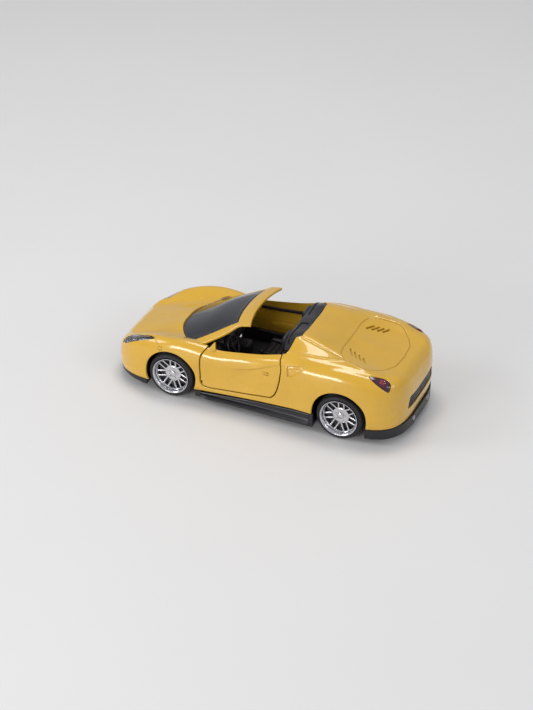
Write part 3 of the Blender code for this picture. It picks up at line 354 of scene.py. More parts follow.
def prism(name, outline, axis, low, high, rounding=0.0):
    """A flat outline in the other two axes (X, Y, Z order), extruded along axis from low to high."""
    curve = bpy.data.curves.new(name, "CURVE")
    curve.dimensions = "2D"
    curve.fill_mode = "BOTH"
    curve.extrude = (high - low) / 2 * MM
    spline = curve.splines.new("POLY")
    spline.points.add(len(outline) - 1)
    for point, (a, b) in zip(spline.points, outline):
        point.co = (a * MM, b * MM, 0.0, 1.0)
    spline.use_cyclic_u = True
    guide = bpy.data.objects.new(name, curve)
    WORK.objects.link(guide)
    bpy.context.view_layer.update()
    mesh = bpy.data.meshes.new_from_object(guide.evaluated_get(bpy.context.evaluated_depsgraph_get()))
    middle = Vector([(low + high) / 2 * MM if axis == letter else 0.0 for letter in "xyz"])
    mesh.transform(Matrix.Translation(middle) @ PLANE_TURN[axis])
    bpy.data.objects.remove(guide)
    bm = bmesh.new()
    bm.from_mesh(mesh)
    bpy.data.meshes.remove(mesh)
    bmesh.ops.remove_doubles(bm, verts=bm.verts, dist=0.001 * MM)
    if rounding:
        bmesh.ops.dissolve_limit(bm, angle_limit=math.radians(0.05), verts=bm.verts, edges=bm.edges)
    obj = from_bmesh(name, bm)
    return bevel(obj, rounding) if rounding else obj


def turned(name, profile, centre=(0, 0, 0), axis="z", segments=96):
    """A shape turned round an axis through centre, from (radius, distance) points.

    A profile that starts off the axis is closed; one that starts on it runs back to it.
    """
    angles = [2 * math.pi * k / segments for k in range(segments)]
    place = Matrix.Translation(Vector(centre) * MM) @ AXIS_TURN[axis]
    bm = bmesh.new()
    rings = []
    for r, h in profile:
        if r <= 0:
            rings.append([bm.verts.new(place @ (Vector((0, 0, h)) * MM))])
            continue
        points = [Vector((r * math.cos(a), r * math.sin(a), h)) * MM for a in angles]
        rings.append([bm.verts.new(place @ point) for point in points])
    pairs = list(zip(rings, rings[1:]))
    if profile[0][0] > 0:
        pairs.append((rings[-1], rings[0]))
    for low, high in pairs:
        for k in range(segments):
            after = (k + 1) % segments
            corners = [ring[j % len(ring)] for ring, j in ((low, k), (low, after), (high, after), (high, k))]
            kept = [v for n, v in enumerate(corners) if v not in corners[:n]]
            if len(kept) > 2:
                bm.faces.new(kept)
    return from_bmesh(name, bm)


def combine(obj, others, operation="DIFFERENCE"):
    """Cuts others from obj, joins them to it, or keeps what they share."""
    for other in others:
        modifier = obj.modifiers.new(operation.lower(), "BOOLEAN")
        modifier.operation = operation
        modifier.solver = "MANIFOLD"
        modifier.object = other
        bake(obj)
    return obj


def gather(name, pieces):
    """One object made of several closed meshes."""
    bm = bmesh.new()
    for piece in pieces:
        bpy.context.view_layer.update()
        piece.data.transform(piece.matrix_basis)
        bm.from_mesh(piece.data)
    return working(name, mesh_of(name, bm))


def lofted(name, rings):
    """A closed solid through rings of (x, y, z) points, each ring with as many points."""
    bm = bmesh.new()
    rings = [[bm.verts.new(Vector(point) * MM) for point in ring] for ring in rings]
    for low, high in zip(rings, rings[1:]):
        for j in range(len(low)):
            after = (j + 1) % len(low)
            bm.faces.new((low[j], low[after], high[after], high[j]))
    bm.faces.new(rings[0])
    bm.faces.new(rings[-1])
    return from_bmesh(name, bm)


def mirrored(obj, name):
    """A copy of obj on the car's other side."""
    mesh = obj.data.copy()
    mesh.transform(Matrix.Diagonal((1, -1, 1, 1)))
    mesh.flip_normals()
    return working(name, mesh)


def show(obj, name, material, body, slot, *nodes, smooth_deg=SMOOTH_DEG):
    """Makes obj a shown piece: names it, finishes it, and lets it ride on a body in place of CAD nodes."""
    obj.name = name
    obj.data.name = name
    for holder in list(obj.users_collection):
        holder.objects.unlink(obj)
    SHOWN.objects.link(obj)
    obj.data.materials.clear()
    obj.data.materials.append(material)
    obj.data.shade_smooth()
    obj.data.set_sharp_from_angle(angle=math.radians(smooth_deg))
    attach(obj, body)
    if nodes:
        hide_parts(*nodes)
    return obj


# ---------------------------------------------------------------- body surface

TABLE = np.array([[(0.0, s[1]), *s[2:], *UNDERSIDE] for s in SECTIONS[::-1]], float)
STATIONS = [s[0] for s in SECTIONS[::-1]]
LINES = len(GIRTH) - 1
SILL_ROW = 8.0
OPEN_BELOW_Z = -4.0


def closing(x, start, tip, power):
    """How far a superellipse has closed at x: 1 at its start, 0 at its tip."""
    share = np.clip((x - start) / (tip - start), 0.0, 1.0)
    return (1.0 - share**power) ** (1.0 / power)


def station_x(t):
    """X of a station: t runs 0 to 1 over the nose, to 2 over the middle and to 3 over the tail."""
    quarter = 0.5 * math.pi
    nose = NOSE_PLAN[0] + (NOSE_PLAN[1] - NOSE_PLAN[0]) * np.cos(quarter * np.clip(t, 0, 1))
    middle = NOSE_PLAN[0] + (TAIL_PLAN[0] - NOSE_PLAN[0]) * (t - 1)
    tail = TAIL_PLAN[0] + (TAIL_PLAN[1] - TAIL_PLAN[0]) * np.sin(quarter * np.clip(t - 2, 0, 1))
    return np.where(t < 1, nose, np.where(t < 2, middle, tail))


def station_of(x):
    """The station t that belongs to an X, the inverse of station_x."""
    if x > NOSE_PLAN[0]:
        return 2 / math.pi * math.acos((x - NOSE_PLAN[0]) / (NOSE_PLAN[1] - NOSE_PLAN[0]))
    if x < TAIL_PLAN[0]:
        return 2 + 2 / math.pi * math.asin((x - TAIL_PLAN[0]) / (TAIL_PLAN[1] - TAIL_PLAN[0]))
    return 1 + (x - NOSE_PLAN[0]) / (TAIL_PLAN[0] - NOSE_PLAN[0])


def skin(t, row):
    """Points of the left half of the body's skin; row runs from 0 on top to LINES underneath."""
    x = station_x(t)
    lines = natural_spline(STATIONS, TABLE, x)
    girth = np.interp(row, np.arange(LINES + 1), GIRTH)
    points = natural_spline(GIRTH, lines.transpose(1, 0, 2), girth, own=True)
    y = np.maximum(points[:, 0], 0.0)
    z = np.maximum(points[:, 1], UNDERSIDE[0][1])
    plan = closing(x, *NOSE_PLAN) * closing(-x, -TAIL_PLAN[0], -TAIL_PLAN[1], TAIL_PLAN[2])
    nose = closing(x, NOSE_PLAN[1] - NOSE_SIDE[0], NOSE_PLAN[1], NOSE_SIDE[1])
    tail = closing(-x, -TAIL_PLAN[1] - TAIL_SIDE[0], -TAIL_PLAN[1], TAIL_SIDE[1])
    height = np.where(x > 0, NOSE_SIDE[2], TAIL_SIDE[2])
    return np.stack([x, y * plan, height + (z - height) * nose * tail], axis=1)


def skin_height(x, y):
    """Height of the skin's top over a place on the left of the car."""
    line = np.linspace(0, 6, 241)
    points = skin(np.full(241, station_of(x)), line)
    return float(points[np.argmin(np.abs(points[:, 1] - y)), 2])


def skin_normal(t, row):
    step = 0.004
    along = skin(np.minimum(t + step, 3.0), row) - skin(np.maximum(t - step, 0.0), row)
    around = skin(t, np.minimum(row + step, LINES)) - skin(t, np.maximum(row - step, 0.0))
    normal = np.cross(around, along)
    normal[(row < step) | (row > LINES - step), 1] = 0.0
    size = np.linalg.norm(normal, axis=1, keepdims=True)
    ends = np.stack([np.where(t < 1.5, 1.0, -1.0), 0 * t, 0 * t], axis=1)
    return np.where(size > 1e-6, normal / np.maximum(size, 1e-9), ends)


def body_mesh(name, middle, end, rows, depth=0.0, relief=None, near=None, open_below=False):
    """The whole body as a closed solid, moved in by depth and pressed in by relief.

    It has middle stations between the wheels, end stations over each end and rows lines on each side.
    near holds a distance function and the bands within which the faces are halved, one after another.
    """
    t = np.concatenate([
        np.linspace(0, 1, end + 1)[:-1], np.linspace(1, 2, middle), np.linspace(2, 3, end + 1)[1:],
    ])
    row = np.linspace(0, LINES, rows)
    bm = bmesh.new()
    layer_t = bm.verts.layers.float.new("t")
    layer_row = bm.verts.layers.float.new("row")
    tips = [bm.verts.new((0, 0, 0)), bm.verts.new((0, 0, 0))]
    tips[1][layer_t] = 3.0
    rings = []
    for value in t[1:-1]:
        ring = []
        for line in row:
            vert = bm.verts.new((0, 0, 0))
            vert[layer_t] = value
            vert[layer_row] = line
            ring.append(vert)
        rings.append(ring)
    for front, back in zip(rings, rings[1:]):
        for j in range(rows - 1):
            bm.faces.new((front[j], front[j + 1], back[j + 1], back[j]))
    for j in range(rows - 1):
        bm.faces.new((tips[0], rings[0][j + 1], rings[0][j]))
        bm.faces.new((tips[1], rings[-1][j], rings[-1][j + 1]))

    def parameters():
        values = np.array([(v[layer_t], v[layer_row]) for v in bm.verts], float)
        return values[:, 0], values[:, 1]

    def place(points):
        for vert, point in zip(bm.verts, points):
            vert.co = point

    place(skin(*parameters()))
    for band in near[1] if near else ():
        centres = np.array([f.calc_center_median() for f in bm.faces], float)
        wanted = near[0](centres) < band
        edges = {e for face, yes in zip(bm.faces, wanted) if yes for e in face.edges}
        bmesh.ops.subdivide_edges(bm, edges=list(edges), cuts=1, use_grid_fill=True)
        place(skin(*parameters()))
    t_all, row_all = parameters()
    points = skin(t_all, row_all)
    sunk = np.full(len(points), float(depth))
    if relief:
        sunk = sunk + relief(points)
    points = points - skin_normal(t_all, row_all) * sunk[:, None]
    if open_below:
        below = row_all > SILL_ROW
        points[below, 2] = OPEN_BELOW_Z
        edge = skin(t_all, np.full(len(points), SILL_ROW))[:, 1]
        share = (LINES - row_all) / (LINES - SILL_ROW)
        points[below, 1] = (np.maximum(edge - depth, 0) * share)[below]
    points[:, 1] = np.maximum(points[:, 1], 0.0)
    points[(row_all <= 0) | (row_all >= LINES) | (t_all <= 0) | (t_all >= 3), 1] = 0.0
    place(points * MM)
    bmesh.ops.mirror(bm, geom=bm.verts[:] + bm.edges[:] + bm.faces[:], merge_dist=1e-5 * MM, axis="Y")
    return from_bmesh(name, bm)


# ---------------------------------------------------------------- the windscreen

# Edges of the windscreen, from its foot to the back of its top rail: (x, z) on the centreline,
# then (x, y, z) at the outer edge of the pillar.
SCREEN_LINES = [
    ((40.6, 21.6), (28.4, 21.9, 22.9)),
    ((35.4, 24.4), (22.6, 21.3, 25.8)),
    ((28.2, 28.4), (16.6, 19.7, 29.2)),
    ((20.8, 32.2), (11.8, 18.0, 32.4)),
    ((11.0, 35.7), (8.8, 16.6, 35.0)),
    ((8.4, 36.6), (5.8, 16.2, 36.0)),
    ((5.6, 37.0), (3.2, 16.0, 36.5)),
]
PILLAR_SHARE = 0.86
SCREEN_BOW = 2.3
GLASS_FOOT = 1 / 12
GLASS_TOP = 8 / 12


def screen_grid(depth, heights, across):
    """The windscreen's surface at these shares of its height and half width, moved inwards by depth."""
    knots = np.linspace(0, 1, len(SCREEN_LINES))
    table = [(*centre, *edge) for centre, edge in SCREEN_LINES]
    lines = natural_spline(knots, table, heights)
    rows, half = len(heights), len(across) // 2
    grid = np.zeros((rows, len(across), 3))
    for i, (centre_x, centre_z, edge_x, edge_y, edge_z) in enumerate(lines):
        bow = np.abs(across) ** SCREEN_BOW
        grid[i, :, 0] = centre_x + (edge_x - centre_x) * bow
        grid[i, :, 1] = edge_y * across
        grid[i, :, 2] = centre_z + (edge_z - centre_z) * bow
    normal = np.cross(np.gradient(grid, axis=0), np.gradient(grid, axis=1))
    normal /= np.linalg.norm(normal, axis=2, keepdims=True)
    if normal[rows // 2, half, 2] < 0:
        normal = -normal
    return grid - np.asarray(depth)[..., None] * normal


def plate(name, outer, inner, keep):
    """A closed plate between two grids, made of the cells that keep(i, j) allows."""
    rows, columns = outer.shape[:2]
    points = [tuple(p) for p in outer.reshape(-1, 3)] + [tuple(p) for p in inner.reshape(-1, 3)]
    shift = rows * columns
    cells = {(i, j) for i in range(rows - 1) for j in range(columns - 1) if keep(i, j)}
    faces = []
    for i, j in sorted(cells):
        a, b = i * columns + j, i * columns + j + 1
        c, d = b + columns, a + columns
        faces.append((a, b, c, d))
        faces.append((d + shift, c + shift, b + shift, a + shift))
        sides = (((i - 1, j), (a, b)), ((i, j + 1), (b, c)), ((i + 1, j), (c, d)), ((i, j - 1), (d, a)))
        for beyond, edge in sides:
            if beyond not in cells:
                faces.append((edge[1], edge[0], edge[0] + shift, edge[1] + shift))
    used = sorted({k for face in faces for k in face})
    place = {k: n for n, k in enumerate(used)}
    bm = bmesh.new()
    verts = [bm.verts.new(Vector(points[k]) * MM) for k in used]
    for face in faces:
        bm.faces.new([verts[place[k]] for k in face])
    return from_bmesh(name, bm)


# ---------------------------------------------------------------- body outlines, in mm

DOOR_FRONT_X = 21.2


def flowing(points):
    """A smooth line through points that run along X."""
    knots = np.array(sorted(points))
    x = np.linspace(knots[0, 0], knots[-1, 0], 25)
    return list(zip(x, natural_spline(knots[:, 0], knots[:, 1:], x)[:, 0]))


DOOR_INNER_Y = 21.7
DOOR_OUTLINE = [
    (17.6, 8.7),
    (20.2, 9.2),
    (DOOR_FRONT_X, 10.8),
    (DOOR_FRONT_X, 21.8),
    (20.3, 23.9),
    (18.7, 25.6),
    (18.3, 34.0),
    (-12.2, 34.0),
    (-12.6, 29.6),
    (-13.8, 25.0),
    (-13.4, 20.5),
    (-12.5, 16.4),
    (-11.3, 13.2),
    (-9.8, 11.5),
    (0.6, 10.2),
]
COCKPIT_HALF = [
    (-18.2, 0.0),
    (-18.2, 6.0),
    (-17.9, 13.5),
    (-15.8, 14.7),
    (-15.4, 17.6),
    (-14.9, 20.2),
    (-14.0, 21.3),
    (18.2, 21.3),
    (22.0, 20.3),
    (26.4, 17.9),
    (31.0, 14.0),
    (34.2, 8.0),
    (35.6, 0.0),
]
HEADLIGHT = [
    (59.8, 17.0), (57.6, 15.9), (55.0, 15.8), (51.4, 18.6), (48.8, 20.2), (45.0, 21.0), (41.6, 22.9),
    (46.6, 23.1), (51.2, 22.3), (56.4, 20.6), (59.2, 18.6),
]
TAIL_LIGHT = [
    (-49.0, 21.6), (-52.2, 20.2), (-55.6, 19.3), (-58.2, 20.0), (-58.4, 22.2), (-56.4, 23.2), (-53.4, 23.4),
    (-51.0, 22.8),
]
TAIL_LIGHT_LOW = 23.5
FRONT_GRILLE = [(-14.6, 6.8), (14.6, 6.8), (13.0, 10.8), (-13.0, 10.8)]
REAR_PANEL = [(-14.0, 13.0), (14.0, 13.0), (12.6, 18.2), (-12.6, 18.2)]
SILL_LINE = [
    (70.0, 4.9), (45.0, 5.6), (24.0, 6.0), (0.0, 8.0), (-20.0, 9.5), (-28.0, 9.4), (-50.0, 7.3),
    (-70.0, 8.0),
]
ARROW = [(-16.3, 28.0), (-23.4, 29.3), (-24.6, 28.7), (-21.8, 25.6), (-18.4, 23.3), (-16.8, 23.2)]
ARROW_SLOT = [(-17.7, 26.3), (-22.4, 27.6)]
ENGINE_COVER = [
    (-34.2, 0.0), (-34.0, 9.8), (-35.0, 14.8), (-38.3, 17.3), (-43.8, 18.2), (-48.4, 18.4), (-51.2, 15.4),
    (-53.6, 12.4), (-55.8, 8.0), (-56.4, 0.0),
]
DECK_VALLEY = flowing([(-18.4, 14.3), (-23.9, 15.4), (-29.1, 16.0), (-34.6, 16.5), (-37.4, 17.3)])
DECK_RIDGE = flowing([(-15.2, 20.6), (-19.4, 21.0), (-24.3, 20.9), (-30.9, 20.3), (-37.8, 18.6)])
COVER_RIDGE = flowing([(-38.8, 18.1), (-43.9, 19.0), (-48.6, 20.3)])
HAUNCH_FOLD = flowing([(-24.0, 24.9), (-30.0, 24.4), (-36.5, 23.4), (-45.0, 21.9), (-48.2, 21.3)])
BONNET_VALLEY = flowing([(36.0, 20.6), (43.0, 17.8), (50.0, 14.6), (56.0, 12.4)])
LOUVRES = 4
SCOOP_TOP = [
    (14.0, 19.8), (8.0, 20.2), (1.0, 21.4), (-2.8, 22.9), (-8.0, 25.4), (-12.8, 27.4), (-17.0, 28.2),
]
SCOOP_FLOOR = [(9.0, 15.4), (2.0, 15.7), (-4.8, 16.5), (-8.7, 18.8), (-13.0, 21.6), (-17.0, 23.4)]
HANDLE = (-7.3, 21.4)
HANDLE_NOTCH = [(-5.2, 20.7), (-8.4, 22.6), (-8.6, 20.6)]
MARKER = [(38.3, 21.2), (39.9, 21.2), (39.9, 22.5), (38.3, 22.4)]
BUMPER_SEAMS = [[(42.0, 23.9), (41.2, 23.6), (40.2, 22.9)], [(39.1, 21.2), (38.9, 19.8)]]
BUMPER_SEAM_Y = 22.0

EDGE_RADIUS = 0.35
LOW_SIDE_Y = 15.0
UPPER_Z = 14.0
FAR = 99.0


def press_edge(distance, radius=EDGE_RADIUS):
    """How far a rounded edge drops at this distance outside its opening."""
    inward = np.clip(radius - distance, 0.0, radius)
    return radius - np.sqrt(np.maximum(radius**2 - inward**2, 0.0))


def groove(distance, width, depth):
    return depth * np.exp(-((distance / width) ** 2))


def louvre_segments():
    """Ends of the slanted louvres on the left of the engine cover, front to rear."""
    for k in range(LOUVRES):
        middle = Vector((-38.0 - 2.05 * k, 10.3 + 0.6 * k))
        reach = Vector((-0.52, 0.85)) * (1.75 - 0.12 * k)
        yield middle - reach, middle + reach


def side_of(points):
    return points[:, [0, 2]]


def top_of(points):
    return points[:, [0, 1]]


DOOR_LINE = rounded(grow(DOOR_OUTLINE, DOOR_GAP / 2), 1.2)
DOOR_SHAPE = rounded(DOOR_OUTLINE, 1.0)
HEADLIGHT_SHAPE = rounded(HEADLIGHT, 2.0)
TAIL_LIGHT_SHAPE = rounded(TAIL_LIGHT, 1.2)
ARROW_SHAPE = rounded(ARROW, 0.8)
HANDLE_SHAPE = rounded(HANDLE_NOTCH, 0.5)
MARKER_SHAPE = rounded(MARKER, 0.3)
COVER_LINE = [ENGINE_COVER[0], *rounded(ENGINE_COVER, 1.4)[5:-5], ENGINE_COVER[-1]]
COCKPIT_SHAPE = COCKPIT_HALF + other_side(COCKPIT_HALF[1:-1])[::-1]
ARCHES = {
    "front": (FRONT_AXLE_X, FRONT_ARCH_RADIUS),
    "rear": (REAR_AXLE_X, REAR_ARCH_RADIUS),
}


def scoop_depth(points):
    """The concave flank that runs back along the door, sharp along its top and soft below."""
    x, z = points[:, 0], points[:, 2]
    top = read_along(SCOOP_TOP, x)
    share = (top - z) / np.maximum(top - read_along(SCOOP_FLOOR, x), 0.5)
    shape = smooth(share / 0.14) * smooth((1.25 - share) / 0.9)
    reach = smooth((12.5 - x) / 13.0) * smooth((x + 17.0) / 6.0)
    return 0.62 * shape * reach * (points[:, 1] > LOW_SIDE_Y)


def relief(points):
    """How deep each point of the skin is pressed in by the seams, edges and recesses round it."""
    side, top = side_of(points), top_of(points)
    flank = points[:, 1] > LOW_SIDE_Y
    depth = scoop_depth(points)
    door = np.maximum(line_distance(side, DOOR_LINE, closed=True) - DOOR_GAP / 2, 0.0)
    depth = np.maximum(depth, depth * 0.6 + press_edge(door) * flank)
    for x, radius in ARCHES.values():
        reach = np.hypot(points[:, 0] - x, points[:, 2] - ARCH_Z) - radius
        depth = np.maximum(depth, press_edge(np.maximum(reach, 0.0), 0.5) * flank)
    upper = points[:, 2] > UPPER_Z
    for shape, gate in ((HEADLIGHT_SHAPE, upper), (TAIL_LIGHT_SHAPE, points[:, 2] > TAIL_LIGHT_LOW - 1.0)):
        depth = np.maximum(depth, press_edge(np.maximum(outline_distance(top, shape), 0.0), 0.25) * gate)
    cockpit = np.maximum(outline_distance(top, COCKPIT_SHAPE), 0.0)
    depth = np.maximum(depth, press_edge(cockpit, 0.3) * upper * (points[:, 0] < 19.0))
    arrow = outline_distance(side, ARROW_SHAPE)
    inner = smooth((points[:, 0] + 24.5) / 6.0)
    depth = depth + flank * smooth(-arrow / 0.5) * (0.35 + 0.35 * inner)
    depth = depth + flank * groove(line_distance(side, ARROW_SLOT), 0.3, 0.25)
    notch = outline_distance(side, HANDLE_SHAPE)
    depth = depth + flank * 0.5 * smooth(-notch / 0.45)
    marker = outline_distance(side, MARKER_SHAPE)
    depth = depth + flank * (groove(np.abs(marker), 0.13, 0.22) - 0.12 * smooth(-marker / 0.3))
    depth = depth + groove(line_distance(top, COVER_LINE), 0.2, 0.32) * upper
    for seam in BUMPER_SEAMS:
        depth = depth + groove(line_distance(side, seam), 0.14, 0.22) * (points[:, 1] > BUMPER_SEAM_Y)
    folds = (
        (DECK_VALLEY, 0.6, 0.24), (DECK_RIDGE, 0.5, -0.2), (COVER_RIDGE, 0.45, -0.15),
        (HAUNCH_FOLD, 1.2, 0.22), (BONNET_VALLEY, 1.6, 0.25),
    )
    for line, width, height in folds:
        depth = depth + groove(line_distance(top, line), width, height) * upper
    for start, end in louvre_segments():
        along = (end - start).normalized()
        across = (top - np.array(start)) @ np.array((along.y, -along.x))
        reach = line_distance(top, [start, end])
        ramp = np.clip((across + 0.55) / 1.1, 0.0, 1.0)
        depth = depth + upper * 0.8 * ramp * smooth((0.74 - reach) / 0.18)
    return depth


def near_features(points):
    """Distance from each point of the skin to the nearest seam or edge.

    Something is added where finer cells help less, and taken off where they help more.
    """
    side, top = side_of(points), top_of(points)
    flank = np.where(points[:, 1] > LOW_SIDE_Y, 0.0, FAR)
    upper = np.where(points[:, 2] > UPPER_Z, 0.0, FAR)
    found = [line_distance(side, DOOR_LINE, closed=True) + flank]
    lamp_shapes = (HEADLIGHT_SHAPE, TAIL_LIGHT_SHAPE)
    found += [line_distance(top, shape, closed=True) + upper for shape in lamp_shapes]
    flank_shapes = (ARROW_SHAPE, HANDLE_SHAPE, MARKER_SHAPE)
    found += [line_distance(side, shape, closed=True) + flank for shape in flank_shapes]
    found += [line_distance(side, seam) + flank for seam in BUMPER_SEAMS]
    found += [line_distance(side, SCOOP_TOP) + flank + 0.35]
    deck_lines = (COVER_LINE, DECK_VALLEY, DECK_RIDGE, COVER_RIDGE)
    found += [line_distance(top, line) + upper for line in deck_lines]
    found += [line_distance(top, ends) - 0.4 + upper for ends in louvre_segments()]
    found += [line_distance(top, COCKPIT_SHAPE, closed=True) + upper + 0.3]
    for x, radius in ARCHES.values():
        reach = np.abs(np.hypot(points[:, 0] - x, points[:, 2] - ARCH_Z) - radius - 0.2)
        found.append(reach + flank + 0.3)
    return np.min(found, axis=0)


REFINE_BANDS = (1.9, 1.05, 0.62)
BODY_STEPS = (110, 36, 96)
HOLLOW_STEPS = (60, 20, 56)


# ---------------------------------------------------------------- finishes

REFRACTION = 1.47


def mixed(nodes, links, factor, first, second):
    """A colour between two, by factor. Each may be a colour or a socket."""
    mix = nodes.new("ShaderNodeMix")
    mix.data_type = "RGBA"
    for socket, value in ((mix.inputs["Factor"], factor), (mix.inputs[6], first), (mix.inputs[7], second)):
        if isinstance(value, tuple):
            socket.default_value = (*value, 1.0)
        else:
            links.new(value, socket)
    return mix.outputs[2]


def noise(nodes, links, place, per_mm, detail=3.0, stretch=(1, 1, 1)):
    mapping = nodes.new("ShaderNodeMapping")
    mapping.inputs["Scale"].default_value = [per_mm * s / MM for s in stretch]
    links.new(place, mapping.inputs["Vector"])
    made = nodes.new("ShaderNodeTexNoise")
    made.inputs["Scale"].default_value = 1.0
    made.inputs["Detail"].default_value = detail
    links.new(mapping.outputs["Vector"], made.inputs["Vector"])
    return made.outputs["Fac"]


def ranged(nodes, links, value, low, high, to_low, to_high):
    mapped = nodes.new("ShaderNodeMapRange")
    links.new(value, mapped.inputs["Value"])
    for name, amount in (("From Min", low), ("From Max", high), ("To Min", to_low), ("To Max", to_high)):
        mapped.inputs[name].default_value = amount
    return mapped.outputs["Result"]


def finish_of(
    name, colour, rough, metallic=0.0, tone=0.06, tone_per_mm=0.12, grain=(1.2, 0.1, 0.03), dust=0.03,
    dust_colour=(0.55, 0.5, 0.42), pits=None, stretch=(1, 1, 1), coat=0.0, coat_rough=0.04,
    transmission=0.0, specular=0.5, painted_shade=None,
):
    """A procedural finish: drifting tone, grain, dust, and painted shade that darkens the hollows.

    grain is (features per mm, strength, height in mm) and pits the cells per mm of a moulded texture.
    """
    material = bpy.data.materials.new(name)
    material.use_nodes = True
    nodes, links = material.node_tree.nodes, material.node_tree.links
    shader = nodes["Principled BSDF"]
    place = nodes.new("ShaderNodeTexCoord").outputs["Object"]
    darker = tuple(c * (1 - tone) for c in colour)
    lighter = tuple(min(c * (1 + tone), 1.0) for c in colour)
    drift = ranged(nodes, links, noise(nodes, links, place, tone_per_mm), 0.3, 0.7, 0.0, 1.0)
    base = mixed(nodes, links, drift, darker, lighter)
    fine = noise(nodes, links, place, grain[0], stretch=stretch)
    if dust:
        specks = noise(nodes, links, place, 1.7, detail=5.0)
        amount = ranged(nodes, links, specks, 0.6, 0.78, 0.0, dust)
        base = mixed(nodes, links, amount, base, dust_colour)
    # Painted shade: the base colour is darkened towards the given colour where ambient occlusion finds
    # hollows and creases.
    if painted_shade:
        occlusion = nodes.new("ShaderNodeAmbientOcclusion")
        occlusion.samples = 4
        occlusion.inputs["Distance"].default_value = 0.9 * MM
        shade = ranged(nodes, links, occlusion.outputs["AO"], 0.25, 0.8, 0.75, 0.0)
        base = mixed(nodes, links, shade, base, painted_shade)
    links.new(base, shader.inputs["Base Color"])
    smudge = noise(nodes, links, place, 0.09, detail=4.0)
    links.new(ranged(nodes, links, smudge, 0.3, 0.7, rough[0], rough[1]), shader.inputs["Roughness"])
    height = fine
    if pits:
        cells = nodes.new("ShaderNodeTexVoronoi")
        cells.inputs["Scale"].default_value = pits / MM
        links.new(place, cells.inputs["Vector"])
        both = nodes.new("ShaderNodeMath")
        both.operation = "ADD"
        links.new(fine, both.inputs[0])
        links.new(cells.outputs["Distance"], both.inputs[1])
        height = both.outputs[0]
    bump = nodes.new("ShaderNodeBump")
    bump.inputs["Strength"].default_value = grain[1]
    bump.inputs["Distance"].default_value = grain[2] * MM
    links.new(height, bump.inputs["Height"])
    links.new(bump.outputs["Normal"], shader.inputs["Normal"])
    shader.inputs["Metallic"].default_value = metallic
    shader.inputs["Coat Weight"].default_value = coat
    shader.inputs["Coat Roughness"].default_value = coat_rough
    shader.inputs["Transmission Weight"].default_value = transmission
    shader.inputs["IOR"].default_value = REFRACTION
    shader.inputs["Specular IOR Level"].default_value = specular
    return material


# The enamel carries painted shade in its hollows and creases.
ENAMEL = finish_of(
    "golden_enamel", (0.68, 0.39, 0.025), (0.2, 0.32), tone=0.03, grain=(2.2, 0.22, 0.012), dust=0.015,
    dust_colour=(0.9, 0.75, 0.4), coat=0.75, coat_rough=0.03, painted_shade=(0.16, 0.075, 0.012),
)
BASE_PLASTIC = finish_of(
    "moulded_black", (0.013, 0.012, 0.016), (0.26, 0.38), tone=0.15, grain=(5.0, 0.3, 0.015), dust=0.03,
    pits=3.2,
)
CABIN_PLASTIC = finish_of(
    "cabin_black", (0.020, 0.019, 0.024), (0.34, 0.5), tone=0.15, grain=(4.0, 0.4, 0.03), dust=0.03,
    pits=2.4,
)
GLOSS_PLASTIC = finish_of(
    "gloss_black", (0.014, 0.013, 0.017), (0.16, 0.26), tone=0.1, grain=(1.2, 0.08, 0.01), dust=0.05,
    coat=0.4,
)
TINTED = finish_of(
    "tinted_screen", (0.035, 0.034, 0.044), (0.05, 0.1), tone=0.05, grain=(0.25, 0.05, 0.01), dust=0.02,
    transmission=0.62, coat=0.3,
)
CLEAR = finish_of(
    "clear_lens", (0.92, 0.93, 0.95), (0.03, 0.07), tone=0.01, grain=(0.8, 0.03, 0.01), dust=0.0,
    transmission=1.0,
)
SMOKED_RED = finish_of(
    "smoked_red_lens", (0.075, 0.012, 0.035), (0.06, 0.14), tone=0.08, grain=(1.0, 0.05, 0.01),
    dust=0.02, transmission=0.35, coat=0.6,
)
RED_LENS = finish_of(
    "red_lens", (0.32, 0.02, 0.05), (0.08, 0.16), tone=0.08, grain=(1.5, 0.05, 0.01), dust=0.02,
    transmission=0.3, coat=0.6,
)
# The plated rim carries painted shade in its hollows.
PLATED = finish_of(
    "plated_rim", (0.63, 0.63, 0.66), (0.17, 0.27), metallic=1.0, tone=0.04, grain=(1.8, 0.1, 0.008),
    dust=0.01, painted_shade=(0.12, 0.12, 0.14),
)
REFLECTOR = finish_of(
    "lamp_reflector", (0.88, 0.89, 0.92), (0.2, 0.34), metallic=0.45, tone=0.05, grain=(2.5, 0.3, 0.02),
    dust=0.0,
)
RUBBER = finish_of(
    "tyre_rubber", (0.022, 0.021, 0.026), (0.5, 0.68), tone=0.15, grain=(3.5, 0.4, 0.03), dust=0.05,
    pits=2.6, specular=0.4,
)
STEEL = finish_of(
    "turned_steel", (0.55, 0.55, 0.56), (0.2, 0.36), metallic=1.0, tone=0.06, grain=(3.0, 0.25, 0.012),
    dust=0.04, stretch=(1, 0.08, 1),
)
NYLON = finish_of(
    "natural_nylon", (0.74, 0.73, 0.67), (0.36, 0.5), tone=0.04, grain=(1.6, 0.2, 0.02), dust=0.02,
)
DISC_METAL = finish_of(
    "brake_metal", (0.045, 0.043, 0.055), (0.35, 0.5), metallic=0.6, tone=0.12, grain=(3.0, 0.3, 0.02),
    dust=0.04,
)


# ---------------------------------------------------------------- body and doors

outline = body_mesh("outline", *BODY_STEPS, relief=relief, near=(near_features, REFINE_BANDS))
hollow = body_mesh("hollow", *HOLLOW_STEPS, depth=SKIN, open_below=True)
below_sill = prism("below_sill", SILL_LINE + [(-70.0, -10.0), (70.0, -10.0)], "y", -40, 40)
plain_outline = body_mesh("plain_outline", *HOLLOW_STEPS)
depth_solids = {}


def surface_at(depth):
    """The body's outline moved in by depth, made once for each depth."""
    if depth not in depth_solids:
        depth_solids[depth] = body_mesh("inner_outline", *HOLLOW_STEPS, depth=depth)
    return depth_solids[depth]


def layer(obj, outer, inner):
    """Keeps the part of obj between two depths under the body's outline."""
    combine(obj, [surface_at(outer)], "INTERSECT")
    return combine(obj, [surface_at(inner)])


